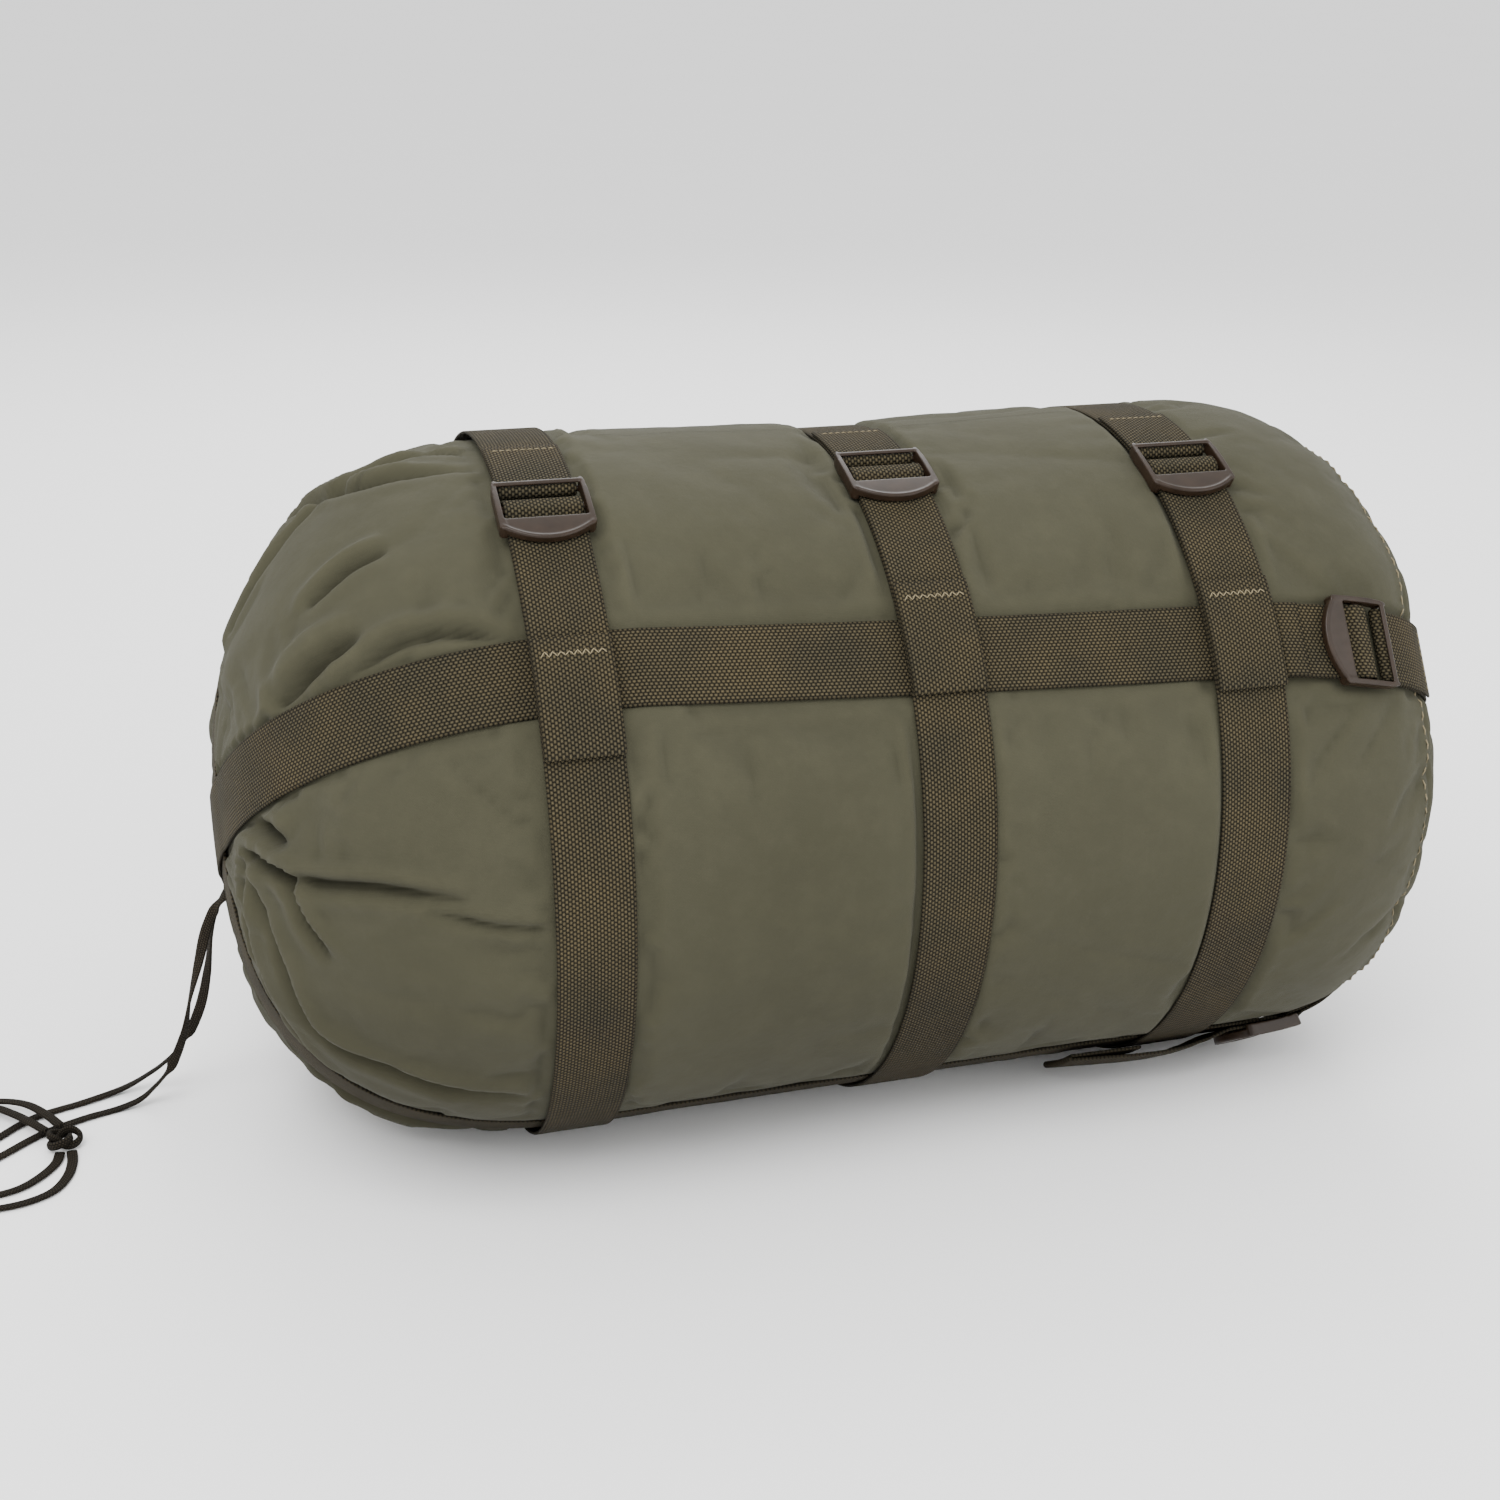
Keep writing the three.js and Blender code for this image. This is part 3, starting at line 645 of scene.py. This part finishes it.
def upsample(grid, axis, wrap):
    """Twice as many points along one axis, on a smooth curve through the old ones."""
    old = np.moveaxis(grid, axis, 0)
    if wrap:
        before, after, later = np.roll(old, 1, 0), np.roll(old, -1, 0), np.roll(old, -2, 0)
        middle = (9 * (old + after) - before - later) / 16
        out = np.stack([old, middle], 1).reshape(-1, *old.shape[1:])
    else:
        padded = np.concatenate([2 * old[:1] - old[1:2], old, 2 * old[-1:] - old[-2:-1]])
        middle = (9 * (padded[1:-2] + padded[2:-1]) - padded[:-3] - padded[3:]) / 16
        out = np.empty((2 * len(old) - 1, *old.shape[1:]))
        out[::2], out[1::2] = old, middle
    return np.moveaxis(out, 0, axis)


def blow_out(points, held):
    """Cloth simulation: a little more cloth than the sack needs is pressed out between the straps."""
    rows, columns = held.shape
    obj = make_mesh("fabric_blank", points.reshape(-1, 3), grid_faces(rows, columns, True), CLOTH)
    group = obj.vertex_groups.new(name="held")
    weights = np.round(held.ravel(), 2)
    for weight in np.unique(weights[weights > 0]):
        group.add(np.nonzero(weights == weight)[0].tolist(), float(weight), "REPLACE")
    cloth = obj.modifiers.new("cloth", "CLOTH")
    settings = cloth.settings
    settings.quality = 6
    settings.mass = 0.2
    settings.tension_stiffness = settings.compression_stiffness = 18
    settings.shear_stiffness = 6
    settings.bending_stiffness = 0.35
    settings.use_pressure = True
    settings.uniform_pressure_force = 4
    settings.shrink_min = settings.shrink_max = -0.03
    settings.vertex_group_mass = "held"
    settings.effector_weights.gravity = 0
    cloth.point_cache.frame_end = SIM_STEPS
    scene = bpy.context.scene
    for step in range(1, SIM_STEPS + 1):
        scene.frame_set(step)
    shaped = obj.evaluated_get(bpy.context.evaluated_depsgraph_get()).to_mesh()
    out = np.empty(len(shaped.vertices) * 3)
    shaped.vertices.foreach_get("co", out)
    scene.frame_set(1)
    bpy.data.objects.remove(obj)
    return out.reshape(points.shape) / MM


def crease_depths(distance, angle, nominal):
    """The creases, as a height to add: a sharp valley with a soft roll beside it, higher on one side."""
    height = np.zeros(nominal.shape[:-1])
    turned = np.broadcast_to(angle, height.shape)
    for stops, depth, width in CREASES:
        line = centripetal(stops, 6)
        at = outline_at_x(line[:, 0])
        track = skin(at, np.radians(line[:, 1]), 0)
        fade = np.sin(math.pi * np.linspace(0.12, 1, len(track))) ** 0.6
        low, high = track.min(0) - 4 * width, track.max(0) + 4 * width
        close = np.all((nominal > low) & (nominal < high), axis=-1)
        spots, spot_angle = nominal[close], turned[close]
        near = np.full(len(spots), 1e9)
        strength, hand = np.zeros(len(spots)), np.zeros(len(spots))
        for k in range(len(track) - 1):
            step = track[k + 1] - track[k]
            share = np.clip((spots - track[k]) @ step / (step @ step), 0, 1)
            away = np.linalg.norm(spots - track[k] - share[:, None] * step, axis=-1)
            closer = away < near
            near = np.where(closer, away, near)
            strength = np.where(closer, fade[k] + share * (fade[k + 1] - fade[k]), strength)
            line_angle = np.radians(line[k, 1] + share * (line[k + 1, 1] - line[k, 1]))
            hand = np.where(closer, np.sin(spot_angle - line_angle), hand)
        valley = np.exp(-(near / (0.6 * width)) ** 2)
        higher = 0.4 - 0.2 * np.clip(hand * 100, -1, 1)
        roll = higher * np.exp(-((near - 1.5 * width) / (0.9 * width)) ** 2)
        height[close] += strength * depth * (roll - valley)
    return height


def gathers(distance, angle, nominal):
    """Radial folds from the drawn mouth: many and fine at the hem, few and broad further out."""
    from_mouth = MOUTH_AT - distance
    wander = noise_grid(nominal, 60, 3) * 0.5
    total = 0
    for count, depth, reach, phase in GATHERS:
        wave = np.abs(np.sin((angle + wander * (from_mouth / 200)) * count / 2 + phase)) ** 0.8 - 0.62
        total = total + depth * wave * np.exp(-np.clip(from_mouth - RING_FROM_MOUTH, 0, None) / reach)
    return total


def outward(distance, angle, nominal):
    """Unit normals of the surface, and almost nothing where it lies flat on the ground."""
    step = skin(distance, angle, 1.0) - nominal
    return step / np.maximum(np.linalg.norm(step, axis=-1), 1e-6)[..., None]


def simulated(distance, angle, start, nominal):
    """The fabric after the simulation, kept down beneath and beside the straps."""
    hoops, longs, above = strap_cover(distance, angle, STRAP_EASE)
    _, pressed_in, _ = strap_cover(distance, angle, VALLEY)
    ends = np.maximum(smoothstep(distance, 60, 30), smoothstep(MOUTH_AT - distance, 75, 50))
    held = np.maximum(np.maximum(hoops, longs), ends)
    moved = blow_out(skin(distance, angle, start), np.where(held > HELD, 1.0, held))
    normal = outward(distance, angle, nominal)
    rise = ((moved - nominal) * normal).sum(-1)
    slide = moved - nominal - rise[..., None] * normal
    slide *= np.minimum(1, MOST_SLIDE / np.maximum(np.linalg.norm(slide, axis=-1), 1e-6))[..., None]
    rise = np.where(rise > 0, HIGHEST * np.tanh(rise / HIGHEST), rise)
    rise += (BESIDE_LONG - rise) * pressed_in ** 2
    ceiling = np.where(hoops > HELD, UNDER_HOOP + above, HIGHEST)
    ceiling = np.where(longs > HELD, UNDER_LONG, ceiling)
    return nominal + np.clip(rise, LOWEST, ceiling)[..., None] * normal + slide


def fold_height(distance, angle, nominal):
    """Gathers, creases and small puckers, in mm outwards, with none beneath the straps."""
    hoops, longs, _ = strap_cover(distance, angle, FOLD_EASE)
    beside, _, _ = strap_cover(distance, angle, PUCKER_REACH)
    _, pressed_in, _ = strap_cover(distance, angle, VALLEY)
    free = 1 - np.maximum(hoops, longs)
    height = gathers(distance, angle, nominal)
    height += 0.7 * noise_grid(nominal, 45, 5) + 0.35 * noise_grid(nominal, 14, 7)
    height += 0.7 * beside * noise_grid(nominal * (0.22, 1, 1), 10, 9)          # short puckers at hoops
    slanted = nominal @ np.array([[0.35, 0.2, 0.3], [-0.5, 0.9, 0.1], [0.4, 0.1, 0.9]])
    line = np.clip(1 - 5 * np.abs(noise_grid(slanted, 70, 11)), 0, 1)
    height -= 1.2 * line ** 1.5                                                 # long faint creases
    height = height * (1 - 0.6 * pressed_in)
    height += CREASE_STRENGTH * crease_depths(distance, angle, nominal)
    return np.clip(height, DEEPEST_FOLD, HIGHEST) * np.clip(free * 1.5, 0, 1)


def seam_groove(distance):
    seam = np.abs(distance - SEAM_AT)
    return 0.9 * np.exp(-((seam - 6) / 3) ** 2) - 1.6 * np.exp(-(seam / 2.2) ** 2)


def make_fabric():
    distance = np.linspace(3, MOUTH_AT - RING_FROM_MOUTH, int((MOUTH_AT - RING_FROM_MOUTH) / ROW_STEP))
    angle = np.linspace(0, 2 * math.pi, COLUMNS, endpoint=False)
    distance, angle = distance[:, None], angle[None, :]
    hoops, longs, above = strap_cover(distance, angle, STRAP_EASE)
    free = 1 - np.maximum(hoops, longs)
    nominal = skin(distance, angle, 0.0)
    start = np.minimum((UNDER_HOOP + above) * hoops, UNDER_LONG * longs)
    start = start + PLUMP * free + 0.5 * free * noise_grid(nominal, 30, 1)
    points = simulated(distance, angle, start, nominal)
    points = upsample(upsample(points, 1, True), 0, False)
    distance = upsample(distance, 0, False)
    angle = np.linspace(0, 2 * math.pi, 2 * COLUMNS, endpoint=False)[None, :]
    nominal = skin(distance, angle, 0.0)
    height = fold_height(distance, angle, nominal) + seam_groove(distance)
    points = points + height[..., None] * outward(distance, angle, nominal)
    points[..., 2] = np.maximum(points[..., 2], LOWEST_Z)
    return distance, angle, points


def add_fabric():
    distance, angle, points = make_fabric()
    rows, columns = points.shape[:2]
    arc = HOOPS[1]["radius"] * MM * (angle - math.pi)
    weave = np.stack(np.broadcast_arrays(distance * MM, arc, 0.0), -1)
    split = int(np.argmin(np.abs(distance[:, 0] - SEAM_AT)))
    for name, rows_used, node in (("base_panel_cloth", slice(0, split + 1), "base_panel"),
                                  ("sack_barrel_cloth", slice(split, rows), "sack_barrel")):
        part, marks = points[rows_used], weave[rows_used]
        faces = grid_faces(len(part), columns, True)
        obj = make_mesh(name, part.reshape(-1, 3), faces, CLOTH, marks.reshape(-1, 3))
        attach(obj, "root")
        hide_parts(node)
    return points, split


FABRIC, SEAM_ROW = add_fabric()

# ---- straps ----
RIBBON_ACROSS = 12


def ribbon_section():
    """Outline of webbing cut across, as (w, h) points: flat faces and rounded edges."""
    half = WEB_WIDTH / 2
    flat = np.linspace(-half + 0.8, half - 0.8, RIBBON_ACROSS + 1)
    top = [(w, HALF_WEB) for w in flat]
    bottom = [(w, -HALF_WEB) for w in flat[::-1]]
    edge = [(half - 0.2, 0.6 * HALF_WEB), (half, 0), (half - 0.2, -0.6 * HALF_WEB)]
    return np.array([*top, *edge, *bottom, *[(-w, -h) for w, h in edge]])[::-1]


def ribbon(name, path, lay, body, nodes=()):
    """Webbing along a flat (s, n) centre line, laid on the sack and riding on a body."""
    path = np.asarray(path, float)
    direction = unit(np.gradient(path, axis=0))
    normal = np.stack([-direction[:, 1], direction[:, 0]], -1)
    section = ribbon_section()
    s = path[:, None, 0] + normal[:, None, 0] * section[:, 1]
    n = path[:, None, 1] + normal[:, None, 1] * section[:, 1]
    w = np.broadcast_to(section[:, 0], s.shape)
    run = distance_along(path)
    weave = np.stack(np.broadcast_arrays(run[:, None] * MM, w * MM, section[:, 1] * MM), -1)
    obj = make_mesh(name, lay(s, w, n).reshape(-1, 3), tube_faces(*s.shape), WEBBING,
                    weave.reshape(-1, 3))
    if body:
        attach(obj, body)
    for node in nodes:
        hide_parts(node)
    return obj


LOOP_RAW_END, LOOP_FOOT = -46, -52     # where the loop's top layer ends and its lower one joins the run
LOOP_PLAY = 0.35
FEED_START, FEED_END = 30, 10


def sewn_loop():
    """From the raw end on top, round the hinge bar and back beneath."""
    radius = BAR_RADIUS + LOOP_PLAY + HALF_WEB
    turn = np.radians(np.arange(135, -91, -9))
    bend = np.stack([radius * np.cos(turn), BAR_LEVEL + radius * np.sin(turn)], -1)
    start = bend[0]
    foot = start[0] - (start[1] - TAIL_LEVEL) - 1
    top = eased([(LOOP_RAW_END, TAIL_LEVEL), (foot - 6, TAIL_LEVEL), (foot, TAIL_LEVEL), start])
    under = eased([bend[-1], (-8, 1.0), (-14, HALF_WEB), (LOOP_FOOT, HALF_WEB)])
    return np.concatenate([spread_along(top, 3)[:-1], bend, spread_along(under, 3)[1:]])


def hoop_run(hoop):
    """Once round the sack, from the loop to beneath the lock."""
    turn = 2 * math.pi * hoop["radius"]
    return spread_along([(LOOP_FOOT, HALF_WEB), (FEED_START - turn, HALF_WEB)], 5)


def long_run(name):
    """Once round over both ends, where strap A crosses over strap B."""
    bar = outline_at_x(LONG_BARS[name])
    level = CROSSING_LEVEL if name == "a" else HALF_WEB
    stops = [(LOOP_FOOT, HALF_WEB)]
    for pole in (-bar, MOUTH_AT - OUTLINE_LENGTH - bar):
        stops += [(pole + 38, HALF_WEB), (pole + 23, level), (pole - 23, level), (pole - 38, HALF_WEB)]
    stops.append((FEED_START - OUTLINE_LENGTH, HALF_WEB))
    return spread_along(eased(stops, 2), 4)


def feed_path():
    """From the run up to the toothed bar."""
    return spread_along(eased([(FEED_START + 6, HALF_WEB), (14, HALF_WEB), (9, 1.6), (9.0, 3.4)]), 1.5)


def wrap_and_tail(tail):
    """Over the toothed bar and out beneath the lip, then the loose end."""
    start = [(9, 3), (10.4, 6.2), (12.2, 7.4), (17.2, 7.4), (18.8, 6.2), (20.6, 4.2), (24, 3.2),
             (LOCK_LIFT - 2, 3.2)]
    return np.concatenate([spread_along(eased(start, 3), 1.2), tail])


FOLD_GAP = 0.2


def folded_tail(length, hem):
    """The loose end: flat along the strap, with its last stretch folded back over itself."""
    end = LOCK_LENGTH + length
    fold = HALF_WEB + FOLD_GAP
    turn = np.radians(np.arange(-90, 91, 22.5))
    bend = np.stack([end - fold + fold * np.cos(turn), TAIL_LEVEL + fold + fold * np.sin(turn)], -1)
    out = spread_along(eased([(LOCK_LIFT - 1, 3.1), (LOCK_LIFT + 8, TAIL_LEVEL),
                              (end - fold - 1, TAIL_LEVEL)]), 3)
    back = spread_along([(end - fold - 1, TAIL_LEVEL + 2 * fold), (end - hem, TAIL_LEVEL + 2 * fold)], 3)
    return np.concatenate([out, bend, back])


def slack_tail(length, hem):
    """Strap B's end, crumpled between the sack and the ground."""
    end = LOCK_LENGTH + length
    out = spread_along(eased([(LOCK_LIFT - 1, 3.1), (LOCK_LIFT + 6, 4.2), (LOCK_LIFT + 34, 12.7),
                              (end - 1, 8.7)], 2), 3)
    turn = np.radians(np.arange(90, -91, -22.5))
    bend = np.stack([end - 1 + 1.05 * np.cos(turn), 7.65 + 1.05 * np.sin(turn)], -1)
    back = spread_along([(end - 2, 6.6), (end - hem, 7.1)], 3)
    return np.concatenate([out, bend, back])


# length past each lock's lip and length of the folded hem
TAILS = {
    **{f"hoop_{i}": (105, 55) for i in (1, 2, 3)},
    "long_a": (23, 12),
    "long_b": (100, 42),
}


# ---- stitches: short lengths of thread sewn through the webbing ----
def thread(name, runs, lay, body, radius=0.33):
    """Each run is a polyline of (s, w, n) points; a thin round thread follows it."""
    points, faces, sides = [], [], 6
    around = np.linspace(0, 2 * math.pi, sides, endpoint=False)
    for run in runs:
        stops = np.asarray(run, float)
        line = lay(stops[:, 0], stops[:, 1], stops[:, 2])
        tangent = unit(np.gradient(line, axis=0))
        up = lay(stops[:, 0], stops[:, 1], stops[:, 2] + 1) - line
        side = unit(np.cross(tangent, up))
        up = np.cross(side, tangent)
        ring = (line[:, None] + side[:, None] * np.cos(around)[:, None] * radius
                + up[:, None] * np.sin(around)[:, None] * radius)
        faces += [[len(points) + i for i in face] for face in tube_faces(len(line), sides)]
        points += ring.reshape(-1, 3).tolist()
    obj = make_mesh(name, points, faces, PALE_THREAD)
    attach(obj, body)


THREAD_SUNK, THREAD_PROUD = 0.25, 0.15      # a stitch's ends dip in and its middle stands up


def zigzag(s, level, reach=15.5, pitch=1.9, swing=1.1):
    """Zigzag stitches across a strap, a little uneven, each dipping into the cloth at its ends."""
    runs = []
    count = int(2 * reach / pitch)
    for i in range(count):
        w = -reach + i * pitch
        side = (swing if i % 2 else -swing) * (0.8 + 0.4 * math.sin(12.9 * i) ** 2)
        runs.append([(s - side, w, level - THREAD_SUNK), (s, w + pitch / 2, level + THREAD_PROUD),
                     (s + side, w + pitch, level - THREAD_SUNK)])
    return runs


def running(s, level, reach=16, stitch=2.6, gap=0.9):
    """A straight row of stitches across a strap."""
    starts = np.arange(-reach, reach - stitch, stitch + gap)
    return [[(s, w, level - THREAD_SUNK), (s, w + stitch / 2, level + THREAD_PROUD),
             (s, w + stitch, level - THREAD_SUNK)] for w in starts]


def seam_stitches():
    """A row of stitches on the barrel side of the base seam, on the fabric itself."""
    row = FABRIC[SEAM_ROW + 3]
    out = row - np.array([0, 0, row[:, 2].mean()])
    out = out * (0, 1, 1) / np.linalg.norm(out[:, 1:], axis=1)[:, None] + (0.4, 0, 0)
    runs = [row[k:k + 3] + out[k:k + 3] * np.array([[-0.15], [0.45], [-0.15]])
            for k in range(0, len(row) - 2, 3)]
    thread("base_seam_stitches", runs, lambda x, y, z: np.stack([x, y, z], -1), "root", 0.4)


seam_stitches()

# ---- ladder-lock buckle ----
VOXEL = 0.4 * MM
LOCK_HALF, RAIL = 23, 2.9            # half the lock's width and the width of its side rails
LIP_INNER, LIP_CORNER = 24.3, 3.5
GRIP_AT, BROW_LEVEL = 14.7, 8.55     # the toothed bar, and the bar above the hinge
TOOTH_PITCH = 2.4


def rounded_bar(a, b, radius_s, radius_n, sides=20):
    """A bar across the buckle between two (s, w, n) points, oval in section."""
    a, b = np.array(a, float), np.array(b, float)
    around = np.linspace(0, 2 * math.pi, sides, endpoint=False)
    ring = np.stack([np.cos(around) * radius_s, 0 * around, np.sin(around) * radius_n], -1)
    return np.concatenate([a + ring, b + ring]), tube_faces(2, sides)


def prism(outline, low, high):
    """A plan outline of (s, w) points, extruded from low to high in n."""
    count = len(outline)
    bottom = [(s, w, low) for s, w in outline]
    top = [(s, w, high) for s, w in outline]
    sides = [(i, (i + 1) % count, (i + 1) % count + count, i + count) for i in range(count)]
    return np.array(bottom + top), [*sides, list(range(count))[::-1], list(range(count, 2 * count))]


def lip_outline(start_s, half, length):
    """Half-moon lip: straight inner edge, rounded outer one."""
    bulge = length - start_s
    radius = (half * half + bulge * bulge) / (2 * bulge)
    reach = math.asin((half - LIP_CORNER * 0.35) / radius)
    arc = [(length - radius + radius * math.cos(t), radius * math.sin(t))
           for t in np.linspace(-reach, reach, 25)]
    corner_s = start_s - LIP_CORNER
    return [(LIP_INNER, -half), (corner_s, -half), *arc, (corner_s, half), (LIP_INNER, half)]


def lock_master():
    """The moulded lock at rest in flat (s, w, n) coordinates, fused into one and with softened corners."""
    half, inside = LOCK_HALF, LOCK_HALF - RAIL
    pieces = []
    for hand in (-1, 1):
        outer = [(-2.2, 21.3), (-0.8, 22.2), (3, 22.7), (10, half), (29.5, half), (31, half - 1.5)]
        inner = [(31, inside - 1), (24, inside), (-2.2, inside)]
        outline = [(s, w * hand) for s, w in outer + inner]
        pieces.append(prism(outline if hand > 0 else outline[::-1], 2.4, 9.2))
    lip = lip_outline(29, half, LOCK_LENGTH)
    pieces.append(prism(lip, 5.0, 8.6))
    pieces.append(prism(lip_outline(28.4, half - 0.8, LOCK_LENGTH - 1.3), 4.5, 9.0))
    rim = lip[2:-2]
    for (s0, w0), (s1, w1) in zip(rim, rim[1:]):
        pieces.append(rounded_bar((s0 - 1.0, w0 * 0.97, 8.3), (s1 - 1.0, w1 * 0.97, 8.3), 1.3, 1.3, 10))
    grip = inside + 1
    pieces.append(rounded_bar((0, -grip, BAR_LEVEL), (0, grip, BAR_LEVEL), BAR_RADIUS, BAR_RADIUS))
    pieces.append(rounded_bar((0.2, -grip, BROW_LEVEL), (0.2, grip, BROW_LEVEL), 1.5, 1.0))
    pieces.append(rounded_bar((GRIP_AT, -grip, 4.9), (GRIP_AT, grip, 4.9), 2.3, 1.3))
    for tooth in np.arange(-17, 17.1, TOOTH_PITCH):
        pieces.append(rounded_bar((16.6, tooth - 0.7, 5.6), (16.6, tooth + 0.7, 5.6), 0.9, 0.9, 8))
    points, faces = [], []
    for part_points, part_faces in pieces:
        faces += [[len(points) + i for i in face] for face in part_faces]
        points += part_points.tolist()
    blank = make_mesh("lock_blank", points, faces, PLASTIC)
    fuse = blank.modifiers.new("fuse", "REMESH")
    fuse.mode = "VOXEL"
    fuse.voxel_size = VOXEL
    soften = blank.modifiers.new("soften", "SMOOTH")
    soften.factor = 0.5
    soften.iterations = 9
    shaped = blank.evaluated_get(bpy.context.evaluated_depsgraph_get()).to_mesh()
    out = np.empty(len(shaped.vertices) * 3)
    shaped.vertices.foreach_get("co", out)
    polygons = [list(p.vertices)[::-1] for p in shaped.polygons]      # laying it on the sack mirrors it
    bpy.data.objects.remove(blank)
    return out.reshape(-1, 3) / MM, polygons


LOCK_POINTS, LOCK_FACES = lock_master()


def add_lock(name, lay):
    points = lay(LOCK_POINTS[:, 0], LOCK_POINTS[:, 1], LOCK_POINTS[:, 2])
    obj = make_mesh(f"{name}_ladder_lock", points, LOCK_FACES, PLASTIC)
    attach(obj, f"{name}_buckle")
    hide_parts(f"{name}_buckle")


def lay_point(lay, s, w, n):
    return tuple(lay(np.array(float(s)), np.array(float(w)), np.array(float(n))) * MM)


def add_strap(name, run):
    lay = LAYS[name]
    ribbon(f"{name}_webbing", np.concatenate([sewn_loop(), run[1:]]), lay, "root", [f"{name}_strap"])
    feed = ribbon(f"{name}_feed", feed_path(), lay, None)
    lay_point(lay, FEED_START, 0, 1)
    lay_point(lay, FEED_END, 0, 1)
    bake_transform(feed)
    length, hem = TAILS[name]
    tail = slack_tail(length, hem) if name == "long_b" else folded_tail(length, hem)
    loose = ribbon(f"{name}_loose_end", wrap_and_tail(tail), lay, None,
                   [f"{name}_wrap", f"{name}_tail"])
    lay_point(lay, LOCK_LIFT - 3, 0, 3)
    lay_point(lay, LOCK_LIFT + 5, 0, 3)
    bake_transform(loose)
    add_lock(name, lay)
    thread(f"{name}_anchor_stitches", running(LOOP_RAW_END + 5, TAIL_LEVEL + HALF_WEB), lay, "root")
    if name.startswith("hoop"):
        top = TAIL_LEVEL + HALF_WEB + 2 * (HALF_WEB + FOLD_GAP)
        end = LOCK_LENGTH + length
        thread(f"{name}_tail_stitches", zigzag(end - hem + 8, top), lay, f"{name}_tail")


for index, hoop in enumerate(HOOPS):
    add_strap(f"hoop_{index + 1}", hoop_run(hoop))
for letter in LONG_BARS:
    add_strap(f"long_{letter}", long_run(letter))


# ---- mouth hem and filling ----
HEM_RADIUS, HEM_X = 19, MOUTH_X + 9.5


def add_hem():
    """The gathered channel round the drawn mouth."""
    steps, sides, pleats = 360, 20, 11
    around = np.linspace(0, 2 * math.pi, steps, endpoint=False)
    section = np.linspace(0, 2 * math.pi, sides, endpoint=False)
    fold = np.abs(np.sin(around * pleats + 0.7 * np.sin(3 * around)))[:, None] ** 0.7
    radius = HEM_RADIUS + 2.2 * (fold - 0.5) + (3.4 + 1.0 * fold) * np.cos(section)
    x = HEM_X + (3.6 + 0.8 * fold) * np.sin(section)
    y = -radius * np.sin(around)[:, None]
    z = axis_height(HEM_X) + radius * np.cos(around)[:, None]
    points = np.stack([x, y, z], -1)
    weave = np.stack(np.broadcast_arrays(around[:, None] * HEM_RADIUS * MM, section * 4 * MM, 0.0), -1)
    obj = make_mesh("mouth_hem_cloth", points.reshape(-1, 3), ring_faces(steps, sides), CLOTH,
                    weave.reshape(-1, 3))
    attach(obj, "root")
    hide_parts("mouth_hem")


add_hem()
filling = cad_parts["filling"]
filling.data.materials.clear()
filling.data.materials.append(STUFFING)


# ---- floor, light ----
FLOOR_SIZE, FLOOR_Z = 120, -0.0003     # wide, so that no horizon shows; just below the object
WORLD_STRENGTH = 1.5
# name, place, target, size in metres, power in watts
LIGHTS = [
    ("key", (-0.9, -1.3, 2.2), (0, 0, 0.15), 1.6, 72),
    ("fill", (1.6, -1.8, 1.2), (0, 0, 0.15), 1.8, 26),
    ("back", (0.4, 1.6, 1.8), (0, 0, 0.2), 1.8, 34),
]


def make_stage():
    bpy.ops.mesh.primitive_plane_add(size=FLOOR_SIZE, location=(0, 0, FLOOR_Z))
    floor = bpy.context.object
    floor.name = "floor"
    nodes = Nodes("pale_floor", 0.9, 0.1)
    mottle = nodes.noise(nodes.place(), 1.5)
    nodes.colour(nodes.ramp(mottle, (0.3, (0.94, 0.94, 0.94)), (0.7, (0.95, 0.95, 0.95))))
    floor.data.materials.append(nodes.material)
    world = bpy.data.worlds.new("studio")
    world.use_nodes = True
    background = world.node_tree.nodes["Background"]
    background.inputs["Color"].default_value = (1, 1, 1, 1)
    background.inputs["Strength"].default_value = WORLD_STRENGTH
    bpy.context.scene.world = world
    for name, place, target, size, power in LIGHTS:
        data = bpy.data.lights.new(name, "AREA")
        data.size = size
        data.energy = power
        light = bpy.data.objects.new(name, data)
        bpy.context.collection.objects.link(light)
        aim = Vector(target) - Vector(place)
        light.matrix_world = Matrix.Translation(place) @ aim.to_track_quat("-Z", "Y").to_matrix().to_4x4()


make_stage()
